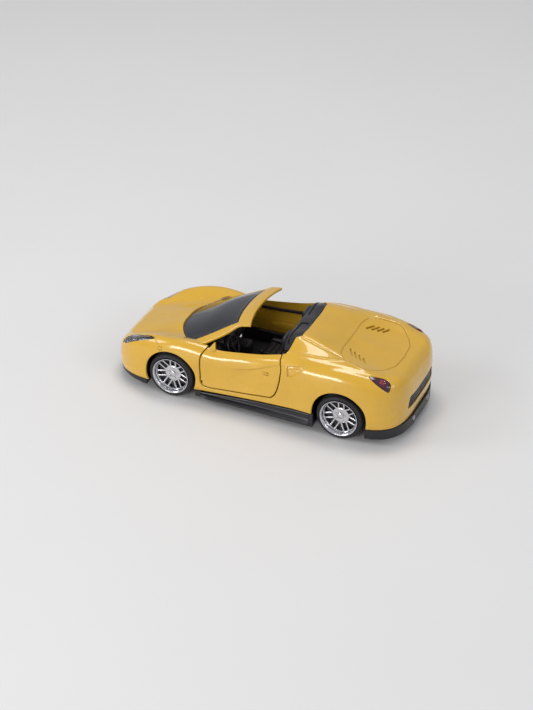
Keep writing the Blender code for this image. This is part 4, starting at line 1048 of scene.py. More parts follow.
shell = working("shell", outline.data.copy())
combine(shell, [hollow, below_sill])
cuts = [prism("cockpit_cut", COCKPIT_SHAPE, "z", 12, 45)]
door_cut = rounded(grow(DOOR_OUTLINE, DOOR_GAP), 1.4)
for side in (1, -1):
    low, high = span(side, 19.5, 30.0)
    cuts.append(prism("door_cut", door_cut, "y", low, high))
    cuts.append(prism("headlight_cut", on_side(side, HEADLIGHT_SHAPE), "z", 12, 40))
    cuts.append(prism("tail_light_cut", on_side(side, TAIL_LIGHT_SHAPE), "z", TAIL_LIGHT_LOW, 40))
cuts.append(prism("grille_cut", rounded(FRONT_GRILLE, 1.0), "x", 45, 70))
cuts.append(prism("rear_cut", rounded(REAR_PANEL, 1.0), "x", -70, -50))
combine(shell, cuts)

# The windscreen's frame: pillars and top rail, rounded and joined to the cowl.
FRAME_ROWS = np.concatenate([
    np.linspace(0, GLASS_FOOT, 5), np.linspace(GLASS_FOOT, GLASS_TOP, 41)[1:],
    np.linspace(GLASS_TOP, 1, 21)[1:],
])
FRAME_BAND = np.linspace(PILLAR_SHARE, 1, 6)
FRAME_ACROSS = np.concatenate([
    -FRAME_BAND[::-1], np.linspace(-PILLAR_SHARE, PILLAR_SHARE, 41)[1:-1], FRAME_BAND,
])
glass_rows = range(4, 44)
glass_columns = range(5, len(FRAME_ACROSS) - 6)
frame_mesh = plate(
    "screen_frame",
    screen_grid(0.0, FRAME_ROWS, FRAME_ACROSS),
    screen_grid(1.1, FRAME_ROWS, FRAME_ACROSS),
    lambda i, j: not (i in glass_rows and j in glass_columns),
)
bevel(frame_mesh, 0.34, segments=4, angle_deg=50)
lugs = []
for side in (1, -1):
    for low, high in ((15.2, 16.6), (21.9, 23.3)):
        ends = span(side, HINGE[1] - 1.2, HINGE[1] + 2.0)
        lug = box("lug", (HINGE[0] - 1.2, ends[0], low), (HINGE[0] + 1.5, ends[1], high))
        lugs.append(combine(lug, [plain_outline], "INTERSECT"))
combine(shell, [frame_mesh, *lugs], "UNION")
arch_cuts = []
for x, radius in ARCHES.values():
    for side in (1, -1):
        arch_cuts.append(cylinder("arch", radius, *span(side, 15.0, 32.0), "y", (x, ARCH_Z), segments=144))
combine(shell, arch_cuts)
GLASS_INSET = 0.004
slot_rows = np.linspace(GLASS_FOOT + GLASS_INSET, GLASS_TOP - GLASS_INSET, 33)
slot_across = np.linspace(-PILLAR_SHARE + 0.006, PILLAR_SHARE - 0.006, 41)
slot_grids = [screen_grid(depth, slot_rows, slot_across) for depth in (-0.6, 1.6)]
combine(shell, [plate("glass_cut", *slot_grids, lambda i, j: True)])
show(shell, "painted_body", ENAMEL, "car", "yellow_paint", "body_shell")


HINGE_LOW = 17.0
HINGE_TOP = 21.5
BARREL_RADIUS = 1.0
BARREL_BORE = 0.6
# Round the hinge line the panel is cut back so that it swings clear of the body, and more below.
SWING_CLEARANCE = 3.88
CORNER_CLEARANCE = 4.7
CORNER_TOP = 11.2
FIN_SIDE = [(15.7, 24.4), (19.0, 24.0), (18.6, 25.2), (16.4, 28.3), (15.8, 28.4)]
ARM_PATH = [
    (-0.7, 0.0), (-0.95, -2.6), (-2.2, -3.8), (-5.2, -4.2), (-5.6, -0.6),
    (-7.4, -0.6), (-7.4, -5.4), (-2.0, -5.2), (0.5, -3.4), (0.7, 0.0),
]
ARMREST_SIDE = [(-8.0, 14.2), (9.0, 13.2), (10.5, 15.0), (8.0, 16.2), (-8.0, 17.0)]
CAP_SIDE = [
    (-12.0, 24.3), (-4.0, 23.7), (6.0, 22.9), (14.4, 22.5), (14.4, 21.4), (6.0, 21.7), (-12.0, 22.9),
]
LEVER_SIDE = [(-1.5, -0.3), (1.2, -0.3), (1.6, 0.1), (1.2, 0.35), (-1.5, 0.35)]


def door(side, name):
    """A door: its painted panel with fin, hinge arm and armrest, a black cap and a handle."""
    panel = prism("door", DOOR_SHAPE, "y", DOOR_INNER_Y, 30)
    combine(panel, [outline], "INTERSECT")
    combine(panel, [
        cylinder("clearance", SWING_CLEARANCE, 5, 40, "z", HINGE, segments=96),
        cylinder("corner_clearance", CORNER_CLEARANCE, 5, CORNER_TOP, "z", HINGE, segments=96),
    ])
    joined = [
        prism("fin", rounded(FIN_SIDE, 0.3, 3), "y", 21.72, 22.5, rounding=0.12),
        prism("arm", moved(ARM_PATH, HINGE), "z", HINGE_LOW, HINGE_TOP),
        cylinder("barrel", BARREL_RADIUS, HINGE_LOW, HINGE_TOP, "z", HINGE),
        prism("armrest", rounded(ARMREST_SIDE, 0.8), "y", 21.0, 22.4, rounding=0.3),
    ]
    combine(panel, joined, "UNION")
    combine(panel, [cylinder("barrel_hole", BARREL_BORE, HINGE_LOW - 1.0, HINGE_TOP + 1.5, "z", HINGE)])
    cap = prism("cap", rounded(CAP_SIDE, 0.4), "y", 21.0, 21.62, rounding=0.2)
    lever_side = moved(rounded(LEVER_SIDE, 0.3), (HANDLE[0], HANDLE[1] + 0.15))
    lever = prism("lever", lever_side, "y", 24.0, 25.35, rounding=0.12)
    pieces = [
        (panel, "door_skin_", ENAMEL, "yellow_paint", ["door_" + name]),
        (cap, "door_cap_", CABIN_PLASTIC, "interior_plastic", []),
        (lever, "door_handle_", ENAMEL, "yellow_paint", []),
    ]
    for piece, label, material, slot_name, stands_for in pieces:
        if side < 0:
            piece = mirrored(piece, label + name)
        show(piece, label + name, material, "door_" + name, slot_name, *stands_for)


for side, name in SIDES:
    door(side, name)

# ---------------------------------------------------------------- glass and lamps

GLASS_EDGE = 0.012
GLASS_SIDE_EDGE = 0.016
rows = np.linspace(GLASS_FOOT + GLASS_EDGE, GLASS_TOP - GLASS_EDGE, 41)
across = np.linspace(-PILLAR_SHARE + GLASS_SIDE_EDGE, PILLAR_SHARE - GLASS_SIDE_EDGE, 49)
BAND = 2


def clear_part(i, j):
    """Whether a cell of the glass lies inside its black border, which is BAND cells wide."""
    return BAND <= i < len(rows) - 1 - BAND and BAND <= j < len(across) - 1 - BAND


pane_grids = [screen_grid(depth, rows, across) for depth in (0.2, 0.8)]
pane = plate("pane", *pane_grids, clear_part)
show(pane, "screen_pane", TINTED, "car", "tinted_glass", "windscreen", smooth_deg=50)
band_grids = [screen_grid(depth, rows, across) for depth in (0.16, 0.86)]
band = plate("band", *band_grids, lambda i, j: not clear_part(i, j))
bevel(band, 0.12, segments=2, angle_deg=50)
show(band, "screen_border", GLOSS_PLASTIC, "car", "tinted_glass", smooth_deg=50)


# Places and radii of the headlight's round lamps, on the left.
PROJECTORS = [(57.2, 18.3, 1.05), (53.9, 18.9, 1.35), (50.3, 20.9, 0.95)]
PROJECTOR_DEPTH = 2.25
SMALL_LIGHTS = 5
# Depths under the skin of the two faces of each layer.
LENS_DEPTHS = (0.12, 0.62)
BOWL_DEPTHS = (1.7, 2.6)
TAIL_COVER_DEPTHS = (0.15, 0.95)


def lamp(side, name):
    """A headlight: a clear lens over a bright bowl with three round lamps and a row of small ones."""
    shape = on_side(side, HEADLIGHT_SHAPE)
    lens = layer(prism("lens", grow(shape, -0.25), "z", 12, 40), *LENS_DEPTHS)
    show(lens, "headlight_lens_" + name, CLEAR, "car", "clear_lamp", "headlight_" + name, smooth_deg=40)
    bowl = layer(prism("bowl", grow(shape, -0.2), "z", 12, 40), *BOWL_DEPTHS)
    show(bowl, "headlight_bezel_" + name, REFLECTOR, "car", "bright_rim", smooth_deg=40)
    lights = []
    for x, y, radius in PROJECTORS:
        inner = radius - 0.3
        tube = [(radius, -0.5), (radius, 1.1), (radius - 0.16, 1.15), (inner, 0.4), (inner, -0.5)]
        bulb = [(0.0, 0.9), (0.35 * radius, 0.82), (0.62 * radius, 0.5), (0.66 * radius, 0.0), (0.0, -0.2)]
        place = Vector((x, side * y, skin_height(x, y) - PROJECTOR_DEPTH))
        lights += [turned("tube", tube, place, segments=40), turned("bulb", bulb, place, segments=32)]
    for k in range(SMALL_LIGHTS):
        x = 43.6 + 0.95 * k
        y = side * (22.6 - 0.1 * k)
        top = skin_height(x, 22.6) - 1.2
        lights.append(box("light", (x - 0.32, y - 0.3, top - 1.2), (x + 0.32, y + 0.3, top), rounding=0.1))
    show(gather("lights", lights), "headlight_units_" + name, PLATED, "car", "bright_rim", smooth_deg=40)


TAIL_LENS_AT = (-55.0, 21.6)
TAIL_LENS = [
    (0.0, 0.4), (0.45, 0.36), (0.8, 0.2), (0.95, 0.0), (1.2, 0.2), (1.35, 0.06), (1.35, -0.5), (0.0, -0.5),
]


def tail_lamp(side, name):
    """A smoked corner lamp with a round red lens in it."""
    cover = prism("cover", grow(on_side(side, TAIL_LIGHT_SHAPE), -0.22), "z", TAIL_LIGHT_LOW, 40)
    layer(cover, *TAIL_COVER_DEPTHS)
    show(cover, "tail_lamp_" + name, SMOKED_RED, "car", "red_lamp", "tail_light_" + name, smooth_deg=40)
    x, y = TAIL_LENS_AT
    spot = Vector((x, side * y, skin_height(x, y)))
    lens = turned("lens", TAIL_LENS, segments=64)
    lean = Vector((-0.35, side * 0.55, 0.76)).normalized()
    turn = lean.to_track_quat("Z", "Y").to_matrix().to_4x4()
    lens.data.transform(Matrix.Translation((spot - lean * 0.25) * MM) @ turn)
    show(lens, "tail_lens_" + name, RED_LENS, "car", "red_lamp", smooth_deg=40)


for side, name in SIDES:
    lamp(side, name)
for side, name in SIDES:
    tail_lamp(side, name)


SLAT_HALF = 0.22


def slatted(name, shape, low, high, front, back, sink, count, rise, node):
    """A black panel set into an end of the body, with slats across it."""
    panel = layer(prism("panel", grow(rounded(shape, 1.0), -0.25), "x", low, high), sink, sink + 1.0)
    show(panel, name, BASE_PLASTIC, "car", "black_plastic", node, smooth_deg=40)
    bars = []
    for k in range(count):
        z = rise[0] + (rise[1] - rise[0]) * (k + 0.5) / count
        bar = prism("bar", grow(rounded(shape, 1.0), -0.3), "x", low, high)
        combine(bar, [box("slab", (low, -30, z - SLAT_HALF), (high, 30, z + SLAT_HALF))], "INTERSECT")
        bars.append(layer(bar, front, back))
    show(gather("bars", bars), name + "_slats", GLOSS_PLASTIC, "car", "black_plastic", smooth_deg=40)


slatted("front_intake", FRONT_GRILLE, 45, 70, 0.25, 0.9, 1.0, 4, (6.8, 10.8), "front_grille")
slatted("rear_grille", REAR_PANEL, -70, -50, 0.3, 0.9, 1.0, 5, (13.0, 18.2), "rear_panel")


# ---------------------------------------------------------------- wheels

SPOKE_PAIRS = 7
SPOKE_TURN = math.radians(11)
PAIR_HALF_GAP = 0.78
SPOKE_WIDTH = 0.66
SPOKE_INNER = 3.0
SPOKE_OUTER = 6.75
SPOKE_SUNK = 2.0
HUB_SUNK = 0.3
DISC_SUNK = 3.5
BOLTS = 5
BOLT_CIRCLE = 2.3


def spoke(length_from, length_to, offset, face):
    """One slim spoke along X, crowned, wider at both ends, its face dished towards the hub."""
    steps = 14
    rings = []
    for k in range(steps + 1):
        share = k / steps
        x = length_from + (length_to - length_from) * share
        flare = 0.16 * (math.exp(-share * 7) + math.exp(-(1 - share) * 9))
        half = SPOKE_WIDTH / 2 + flare
        top = face - 0.35 * (1 - smooth(share)) + 0.1 * smooth((share - 0.8) / 0.2)
        edge = [(1.0, -0.95), (1.0, -0.22), (0.82, -0.04), (0.4, 0.03)]
        section = [(-half * a, b) for a, b in edge] + [(half * a, b) for a, b in edge[::-1]]
        rings.append([(x, offset + a, top + b) for a, b in section])
    return lofted("spoke", rings)


# Wheel profiles as (radius, distance outwards): from the wheel's inner face for RIM_BACK, TYRE_BACK and
# the bores, from its outer face for the fronts and HUB_BACK, and from their own face for the others.
RIM_BACK = [(7.6, 0.0), (7.68, 0.5), (7.3, 1.0), (7.2, 1.6)]
RIM_FRONT = [
    (7.2, -3.0), (7.45, -2.5), (7.72, -1.6), (7.84, -0.5), (7.9, 0.02), (7.86, 0.17), (7.76, 0.2),
    (7.6, 0.14), (7.5, -0.02), (7.4, -0.1), (7.25, -0.3), (7.1, -0.9), (7.02, -1.3), (6.86, -1.42),
    (6.72, -1.7), (6.6, -2.1), (6.52, -2.6), (6.5, -4.5),
]
RIM_BORE = [(6.5, 0.0)]
HUB = [
    (0.0, 0.55), (0.8, 0.5), (1.25, 0.36), (1.42, 0.12), (1.5, -0.12), (1.7, -0.16), (2.0, -0.1),
    (2.9, -0.02), (3.3, -0.06), (3.5, -0.25), (3.5, -0.9), (2.1, -1.2),
]
HUB_BACK = [(1.95, -6.0), (0.0, -6.0)]
BOLT = [(0.0, 0.22), (0.22, 0.2), (0.3, 0.06), (0.3, -0.3), (0.0, -0.3)]
DISC = [(2.1, -0.8), (2.1, 0.0), (4.1, 0.0), (4.3, 0.22), (6.3, 0.22), (6.4, 0.1), (6.4, -0.8)]
TYRE_BACK = [(8.05, 0.0), (8.3, 0.05), (8.9, 0.12), (9.3, 0.4), (9.62, 0.95), (TYRE_RADIUS, 1.5)]
TYRE_FRONT = [
    (TYRE_RADIUS, -1.5), (9.62, -0.95), (9.3, -0.4), (8.95, -0.1), (8.8, -0.02), (8.7, -0.12), (8.6, -0.02),
    (8.3, -0.04), (8.12, -0.2), (8.02, -0.6), (8.0, -2.2), (7.6, -3.0),
]
TYRE_BORE = [(7.55, 3.2)]
TREAD_GROOVE = [(0.0, -0.32), (-0.3, -0.2), (-0.3, 0.2), (0.0, 0.32)]
TREAD_GROOVES = 3


def lifted(profile, height):
    return [(radius, height + distance) for radius, distance in profile]


def rim_shape(low, high):
    """A plated rim along Z with twin spokes, a hub and bolts, from its inner to its outer face."""
    face = high - SPOKE_SUNK
    hub_face = face - HUB_SUNK
    lip = lifted(RIM_BACK, low) + lifted(RIM_FRONT, high) + lifted(RIM_BORE, low)
    parts = [turned("lip", lip, segments=128)]
    for pair in range(SPOKE_PAIRS):
        turn = SPOKE_TURN + 2 * math.pi * pair / SPOKE_PAIRS
        for way in (-1, 1):
            offset = way * (PAIR_HALF_GAP + SPOKE_WIDTH / 2)
            bar = spoke(SPOKE_INNER, math.sqrt(SPOKE_OUTER**2 - offset**2), offset, face)
            bar.data.transform(Matrix.Rotation(turn, 4, "Z"))
            parts.append(bar)
    parts.append(turned("hub", lifted(HUB, hub_face) + lifted(HUB_BACK, high), segments=64))
    for k in range(BOLTS):
        turn = SPOKE_TURN + 2 * math.pi * (k + 0.5) / BOLTS
        place = (BOLT_CIRCLE * math.cos(turn), BOLT_CIRCLE * math.sin(turn), 0)
        parts.append(turned("bolt", lifted(BOLT, hub_face), place, segments=6))
    return gather("rim", parts)


def tyre_shape(low, high):
    """A tyre along Z with grooves round its tread."""
    grooves = []
    for k in range(TREAD_GROOVES):
        middle = low + (high - low) * (k + 1) / (TREAD_GROOVES + 1)
        grooves += [(TYRE_RADIUS + sunk, middle + along) for sunk, along in TREAD_GROOVE]
    profile = lifted(TYRE_BACK, low) + grooves + lifted(TYRE_FRONT, high) + lifted(TYRE_BORE, low)
    return turned("tyre", profile, segments=144)


def wheel(axle, side, name, x, low, high):
    """A rim, a brake disc and a tyre turned about the axle, their outer faces at high."""
    rim = rim_shape(low, high)
    disc = turned("disc", lifted(DISC, high - DISC_SUNK), segments=96)
    tyre = tyre_shape(low, high)
    for piece, label, material, slot_name, nodes in (
        (rim, "rim", PLATED, "bright_rim", [f"rim_{axle}_{name}"]),
        (disc, "wheel_disc", DISC_METAL, "steel", []),
        (tyre, "tyre", RUBBER, "tyre_rubber", [f"tyre_{axle}_{name}"]),
    ):
        # The left wheel's Z runs out to +Y and the right wheel's to -Y.
        facing = Matrix.Rotation(-side * math.pi / 2, 4, "X")
        piece.data.transform(Matrix.Translation(Vector((x, 0, AXLE_Z)) * MM) @ facing)
        label = f"{label}_{axle}_{name}_fine"
        show(piece, label, material, axle + "_wheels", slot_name, *nodes, smooth_deg=40)


for axle, x in (("front", FRONT_AXLE_X), ("rear", REAR_AXLE_X)):
    low_corner, high_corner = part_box(f"tyre_{axle}_left")
    for side, name in SIDES:
        wheel(axle, side, name, x, low_corner.y / MM, high_corner.y / MM)
    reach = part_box(f"{axle}_axle")[1].y / MM
    end = [(0.0, reach), (0.75, reach), (0.9, reach - 0.2)]
    rod = turned("rod", [(r, -h) for r, h in end] + end[::-1], (x, 0, AXLE_Z), "y", segments=48)
    show(rod, f"{axle}_axle_rod", STEEL, f"{axle}_wheels", "steel", f"{axle}_axle")

# ---------------------------------------------------------------- chassis

FLOOR_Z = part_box("chassis")[0].z / MM
FLOOR_TOP = FLOOR_Z + 1.2
SKIRT_SEAT_Y = 20.0
SKIRT_FRONT_X = 21.2
SKIRT_REAR_X = -26.4
FIT_GAP = 0.3


def sill_plan():
    """The body's outline along its sill, seen from above, front to rear."""
    t = np.concatenate([np.linspace(0.02, 1, 22), np.linspace(1, 2, 40)[1:], np.linspace(2, 2.98, 22)[1:]])
    points = skin(t, np.full(len(t), SILL_ROW))
    return [(p[0], p[1]) for p in points]


plan_half = [(LENGTH / 2, 0.0)] + sill_plan() + [(-LENGTH / 2, 0.0)]
plan = plan_half + other_side(plan_half[1:-1])[::-1]
pan = prism("pan", grow(plan, -0.05), "z", FLOOR_Z, 12)
above_sill = [(x, z - FIT_GAP) for x, z in SILL_LINE] + [(-70.0, 40.0), (70.0, 40.0)]
pocket = prism("pocket", grow(plan, -1.3), "z", FLOOR_TOP, 40)
# The underside rises ahead of the front wheels.
ramp = prism("ramp", [(43.0, 2.0), (43.0, 3.0), (66.0, 4.1), (66.0, 2.0)], "y", -40, 40)
combine(pan, [prism("above_sill", above_sill, "y", -40, 40), pocket, ramp])
WELL_SHAPE = rounded([(-10.9, -15), (10.9, -15), (10.9, 12), (-10.9, 12)], 1.0)
wells = []
for x in (FRONT_AXLE_X, REAR_AXLE_X):
    for side in (1, -1):
        wells.append(prism("well", moved(WELL_SHAPE, (x, 5.0)), "y", *span(side, 16.4, 40.0)))
spots = [(centre_of("base_screw_front").x, 0.0), (centre_of("base_screw_rear").x, 0.0)]
holes = [cylinder("hole", 1.9, 2, 3.95, "z", spot) for spot in spots]
holes += [cylinder("hole", 0.95, 2, 6, "z", spot) for spot in spots]
EXHAUST = (centre_of("exhaust_tip_left").y, centre_of("exhaust_tip_left").z)
holes += [cylinder("exhaust_hole", 1.5, -70, -60, "x", (s * EXHAUST[0], EXHAUST[1])) for s in (1, -1)]
pads = [cylinder("pad", 2.8, 3.4, 5.1, "z", spot) for spot in spots]
for side in (1, -1):
    ends = span(side, 12.6, 15.2)
    pads.append(box("bearing", (FRONT_AXLE_X - 2.4, ends[0], 3.4), (FRONT_AXLE_X + 2.4, ends[1], 12.0)))
combine(pan, pads, "UNION")
grooves = []
for k in range(7):
    x = 20.0 - 6.4 * k
    grooves.append(box("rib", (x - 0.5, -12.0, 2.0), (x + 0.5, 12.0, FLOOR_Z + 0.45)))
for k in range(4):
    y = -9.0 + 6.0 * k
    grooves.append(box("vane", (-62.0, y - 0.5, 2.0), (-57.5, y + 0.5, FLOOR_Z + 0.8)))
for side in (1, -1):
    front, rear = SKIRT_FRONT_X, SKIRT_REAR_X
    flank = [(front, FLOOR_Z - 1), (rear, FLOOR_Z - 1), (rear, 12.0), (front, 12.0)]
    seat = prism("skirt_seat", flank, "y", *span(side, SKIRT_SEAT_Y, 30.0))
    grooves.append(combine(seat, [surface_at(1.4)]))
combine(pan, wells + holes + grooves)
combine(pan, [cylinder("bore", 1.0, -17, 17, "y", (FRONT_AXLE_X, AXLE_Z))])


def skirt(side):
    """A side skirt: a blade that widens to the rear, with a ridge along it."""
    stations = np.linspace(SKIRT_FRONT_X, SKIRT_REAR_X, 40)
    share = (SKIRT_FRONT_X - stations) / (SKIRT_FRONT_X - SKIRT_REAR_X)
    rings = []
    for x, s in zip(stations, share):
        wall = float(skin(np.array([station_of(x)]), np.array([SILL_ROW]))[0, 1])
        sill = float(read_along(SILL_LINE, x)) - FIT_GAP
        out = 26.3 + 0.95 * smooth((s - 0.25) / 0.75) - 1.1 * (1 - smooth(s / 0.06))
        crest = 4.25 + 0.55 * smooth((s - 0.2) / 0.8)
        section = [
            (SKIRT_SEAT_Y, FLOOR_Z), (out - 0.35, FLOOR_Z), (out, FLOOR_Z + 0.3), (out, FLOOR_Z + 0.75),
            (out - 0.2, FLOOR_Z + 1.0), (out - 0.7, crest), (wall - 0.55, crest + 0.45),
            (wall - 0.7, crest + 0.75), (wall - 0.7, sill - 1.3), (wall - 0.55, sill - 1.1),
            (wall + 0.2, sill - 0.85), (wall + 0.3, sill - 0.7),
            (wall + 0.2, sill - 0.5), (wall - 0.6, sill - 0.4), (wall - 2.6, sill - 0.8),
            (wall - 2.6, FLOOR_TOP), (SKIRT_SEAT_Y, FLOOR_TOP),
        ]
        rings.append([(x, side * y, z) for y, z in section])
    return lofted("skirt", rings)


base = gather("base", [pan, skirt(1), skirt(-1)])
show(base, "base_pan", BASE_PLASTIC, "car", "black_plastic", "chassis")
TIP = [
    (0.0, -61.6), (0.85, -61.6), (0.85, -63.9), (0.92, -64.16), (1.06, -64.2), (1.16, -64.12), (1.2, -63.8),
    (1.2, -60.6), (0.0, -60.6),
]
for side, name in SIDES:
    tip = turned("tip", TIP, (0, side * EXHAUST[0], EXHAUST[1]), "x", segments=64)
    show(tip, "exhaust_" + name, PLATED, "car", "bright_rim", "exhaust_tip_" + name, smooth_deg=40)

# ---------------------------------------------------------------- cabin

SEAT_SIDE = [
    (-5.6, 5.6), (7.6, 5.6), (8.6, 8.6), (6.8, 10.4), (-2.6, 9.0), (-6.2, 12.6), (-10.4, 26.4),
    (-12.2, 27.4), (-13.6, 26.4), (-9.6, 9.4),
]
BOLSTER_SIDE = [
    (-5.6, 5.6), (7.6, 5.6), (8.0, 11.4), (-1.0, 10.9), (-4.4, 13.6), (-8.2, 24.4), (-10.6, 26.0),
    (-12.6, 25.4), (-9.6, 9.4),
]
HEADREST_SIDE = [(-8.9, 26.4), (-9.1, 31.6), (-9.9, 32.9), (-11.2, 32.8), (-11.7, 31.0), (-12.6, 26.4)]
BACK_PAD = [(-0.5, -1.0), (0.55, -1.0), (0.55, 1.0), (-0.5, 1.0)]
SEAT_PAD = [(-0.9, -0.5), (0.9, -0.5), (0.9, 0.6), (-0.9, 0.6)]
BACK_PADS = 5
SEAT_PADS = 4
SEAT_Y = 10.4
TUNNEL = [(-2.8, 5.6), (2.8, 5.6), (2.4, 11.0), (-2.4, 11.0)]
GEAR_KNOB = [
    (0.0, 4.1), (0.55, 3.9), (0.85, 3.3), (0.6, 2.6), (0.3, 2.2), (0.3, 0.6), (0.9, 0.3), (1.1, 0.0),
    (0.0, -0.3),
]
HAND_BRAKE = [(-6.0, 11.0), (-1.2, 13.0), (-0.8, 13.6), (-1.6, 13.8), (-6.6, 11.8)]


def seat(middle):
    """A bucket seat with bolsters, a headrest and sewn pads, its middle at this Y."""
    parts = [
        prism("seat", rounded(SEAT_SIDE, 1.6), "y", middle - 4.9, middle + 4.9, rounding=0.5),
        prism("headrest", rounded(HEADREST_SIDE, 1.6), "y", middle - 3.2, middle + 3.2, rounding=0.8),
    ]
    for edge in (-1, 1):
        low, high = sorted((middle + edge * 4.3, middle + edge * 6.6))
        parts.append(prism("bolster", rounded(BOLSTER_SIDE, 2.0), "y", low, high, rounding=0.8))
    pads = []
    for k in range(BACK_PADS):
        share = (k + 0.5) / BACK_PADS
        leaning = rotated(rounded(BACK_PAD, 0.4), math.radians(17))
        pads.append(moved(leaning, Vector((-5.6 - 3.6 * share, 12.4 + 11.2 * share))))
    for k in range(SEAT_PADS):
        x = -0.9 + 2.1 * k
        pads.append(moved(rounded(SEAT_PAD, 0.4), (x, 9.2 + 0.15 * x)))
    return parts + [prism("pad", pad, "y", middle - 3.7, middle + 3.7, rounding=0.3) for pad in pads]


tub = [box("floor", (-16.0, -20.8, 5.0), (23.0, 20.8, 6.2), rounding=0.25)]
for side in (1, -1):
    tub += seat(side * SEAT_Y)
    low, high = span(side, 19.4, 20.8)
    tub.append(box("sill_wall", (-16.0, low, 5.6), (23.0, high, 11.6), rounding=0.4))
tub.append(prism("tunnel", rounded(TUNNEL, 0.6), "x", -12.0, 21.0, rounding=0.3))
tub.append(turned("gear_knob", GEAR_KNOB, (5.5, 0, 11.0), "z", segments=32))
tub.append(prism("brake", rounded(HAND_BRAKE, 0.3), "y", -0.45, 0.45, rounding=0.15))
show(gather("tub", tub), "cabin_seats", CABIN_PLASTIC, "car", "interior_plastic", "interior_tub")

BULKHEAD = [
    (-20.4, 6.6), (20.4, 6.6), (20.4, 25.0), (17.4, 29.0), (13.4, 31.6), (11.8, 33.8), (8.0, 34.6),
    (-8.0, 34.6), (-11.8, 33.8), (-13.4, 31.6), (-17.4, 29.0), (-20.4, 25.0),
]
wall = prism("wall", rounded(BULKHEAD, 1.5), "x", -17.7, -16.5, rounding=0.3)
SHELF = [(-17.7, -19.4), (-12.8, -19.4), (-12.2, -16.0), (-12.2, 16.0), (-12.8, 19.4), (-17.7, 19.4)]
IN_OPENING = grow(COCKPIT_SHAPE, -0.3)
under_shelf = layer(prism("shelf", rounded(SHELF, 0.6), "z", 27, 40), 1.6, 2.9)
raised = prism("raised", rounded(SHELF, 0.6), "z", 27, 40)
combine(raised, [prism("opening", IN_OPENING, "z", 20, 45), surface_at(0.45)], "INTERSECT")
combine(raised, [surface_at(2.2)])
PAD_RECESS = [(-16.9, 3.0), (-13.4, 3.0), (-13.0, 17.2), (-15.0, 17.2)]
PAD = [(-16.6, 3.4), (-13.7, 3.4), (-13.3, 16.8), (-15.0, 16.8)]
combine(raised, [prism("recess", rounded(on_side(s, PAD_RECESS), 0.8), "z", 20, 45) for s in (1, -1)])
pads = [layer(prism("pad", rounded(on_side(s, PAD), 0.7), "z", 20, 45), 0.75, 1.9) for s in (1, -1)]
shelf = gather("bulkhead", [wall, under_shelf, raised, *pads])
show(shelf, "rear_shelf", GLOSS_PLASTIC, "car", "interior_plastic", "bulkhead")

DASH_SIDE = [
    (17.4, 15.0), (16.6, 18.6), (17.8, 21.4), (22.4, 22.6), (29.4, 22.2), (33.4, 20.6), (33.4, 18.0),
    (24.0, 15.0),
]
VENT = [(0.55, -0.25), (1.05, -0.25), (1.1, 0.2), (1.0, 0.35), (0.6, 0.3)]
WHEEL_TILT = Matrix.Rotation(math.radians(-68), 4, "Y")
COLUMN = Vector((14.6, 9.6, 20.2))
STEERING = Vector((13.7, 9.6, 20.56))
dash = [
    prism("dash", rounded(DASH_SIDE, 1.4), "y", -16.4, 16.4, rounding=0.5),
    box("console", (10.4, -2.9, 11.8), (18.6, 2.9, 17.2), rounding=0.6),
    cylinder("binnacle", 2.7, 16.9, 21.6, "x", (9.6, 21.4), segments=48),
]
for y in (-12.6, -9.6, -1.4, 1.4):
    dash.append(turned("vent", VENT, (16.9, y, 19.6), "x", segments=32))
dash.append(box("screen", (10.0, -2.1, 13.0), (10.6, 2.1, 16.4), rounding=0.2))
column = cylinder("column", 0.9, -7.0, 0.0, "z", (0, 0))
column.data.transform(Matrix.Translation(COLUMN * MM) @ WHEEL_TILT)
dash.append(column)
show(gather("dash", dash), "dash_panel", CABIN_PLASTIC, "car", "interior_plastic", "dashboard")

ring = turned("ring", [(4.2 + 0.5 * a, 0.5 * b) for a, b in circle(1.0, 16)], segments=72)
horn = [(0.0, 0.45), (0.8, 0.4), (1.25, 0.15), (1.3, -0.5), (0.0, -0.6)]
steering = [ring, turned("hub", horn, segments=40)]
for turn in (180, 270, 360):
    arm = box("arm", (0.9, -0.5, -0.22), (4.1, 0.5, 0.22), rounding=0.15)
    arm.data.transform(Matrix.Rotation(math.radians(turn), 4, "Z"))
    steering.append(arm)
steering = gather("steering", steering)
steering.data.transform(Matrix.Translation(STEERING * MM) @ WHEEL_TILT)
show(steering, "steering_rim", CABIN_PLASTIC, "car", "interior_plastic", "steering_wheel")

# ---------------------------------------------------------------- carried-over CAD nodes

CARRIED = {
    "hinge_pin_left": STEEL, "hinge_pin_right": STEEL, "base_screw_front": STEEL, "base_screw_rear": STEEL,
    "mainspring": STEEL, "motor_case": NYLON, "motor_lid": NYLON, "axle_gear": NYLON, "idler_gear": NYLON,
    "spring_drum": NYLON,
}
for node, material in CARRIED.items():
    mesh = frame["nodes"][node].data
    mesh.materials.clear()
    mesh.materials.append(material)

# ---------------------------------------------------------------- floor, lights and camera

for obj in list(WORK.objects):
    bpy.data.objects.remove(obj)
bpy.data.collections.remove(WORK)


def plain_surface(name, colour, rough):
    return finish_of(name, colour, rough, tone=0.01, tone_per_mm=0.01, grain=(0.6, 0.05, 0.02), dust=0.0)


FLOOR_SIZE = 3000.0
bm = bmesh.new()
bmesh.ops.create_grid(bm, x_segments=2, y_segments=2, size=FLOOR_SIZE * MM)
floor_mesh = mesh_of("studio_floor", bm)
floor = bpy.data.objects.new("studio_floor", floor_mesh)
SHOWN.objects.link(floor)
floor_mesh.materials.append(plain_surface("studio_grey", (0.78, 0.77, 0.76), (0.55, 0.65)))

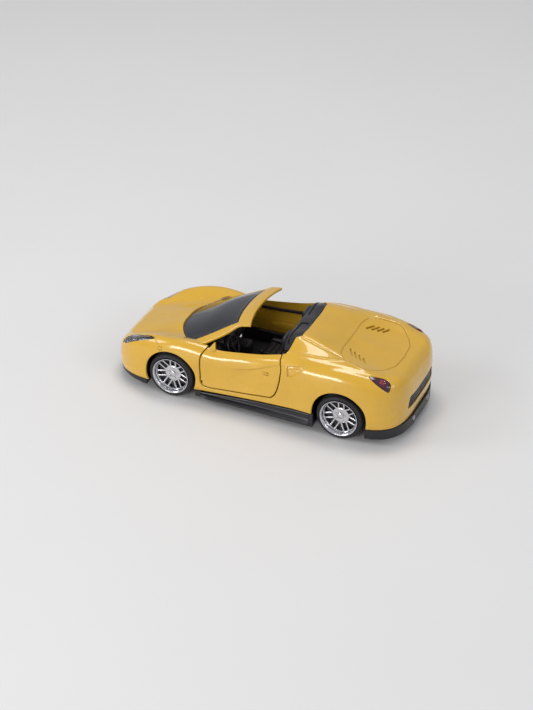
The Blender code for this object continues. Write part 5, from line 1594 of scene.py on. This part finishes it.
world = bpy.data.worlds.new("studio")
world.use_nodes = True
world.node_tree.nodes["Background"].inputs["Color"].default_value = (0.93, 0.95, 1.0, 1.0)
world.node_tree.nodes["Background"].inputs["Strength"].default_value = 0.5
bpy.context.scene.world = world

MIDDLE = Vector((0, 0, 15))


def softbox(name, place, size, watts, colour):
    """A soft rectangular light that faces the car."""
    data = bpy.data.lights.new(name, "AREA")
    data.shape = "RECTANGLE"
    data.size, data.size_y = size[0] * MM, size[1] * MM
    data.energy = watts
    data.color = colour
    light = bpy.data.objects.new(name, data)
    light.location = Vector(place) * MM
    light.rotation_euler = (MIDDLE - Vector(place)).to_track_quat("-Z", "Y").to_euler()
    SHOWN.objects.link(light)


SOFTBOXES = [
    ("overhead", (60, -160, 760), (380, 220), 1.9, (1.0, 0.985, 0.96)),
    ("key_side", (205, 650, 200), (280, 150), 1.6, (1.0, 0.98, 0.95)),
    ("front_side", (560, 300, 420), (240, 200), 0.9, (0.97, 0.98, 1.0)),
    ("rear_side", (-620, 200, 420), (260, 220), 0.6, (1.0, 1.0, 1.0)),
]
for name, place, size, watts, colour in SOFTBOXES:
    softbox(name, place, size, watts, colour)

AZIMUTH = math.radians(203.256)
ELEVATION = math.radians(32.364)
ROLL = math.radians(0.356)
CAMERA_AT = Vector((-265.5, 625.1, 444.3))
FOCAL_LENGTH = 99.85
SENSOR_WIDTH = 36
back = Vector((
    math.sin(AZIMUTH) * math.cos(ELEVATION), -math.cos(AZIMUTH) * math.cos(ELEVATION), math.sin(ELEVATION)
))
right = (-back).cross(Vector((0, 0, 1))).normalized()
up = right.cross(-back)
rolled = right * math.cos(ROLL) + up * math.sin(ROLL)
optics = bpy.data.cameras.new("studio_camera")
optics.lens = FOCAL_LENGTH
optics.sensor_width = SENSOR_WIDTH
optics.clip_start = 0.01
optics.clip_end = 20
camera = bpy.data.objects.new("studio_camera", optics)
SHOWN.objects.link(camera)
camera.matrix_world = Matrix.Translation(CAMERA_AT * MM) @ Matrix(
    (rolled, back.cross(rolled), back)
).transposed().to_4x4()
bpy.context.scene.camera = camera
bpy.context.scene.view_settings.view_transform = "Standard"
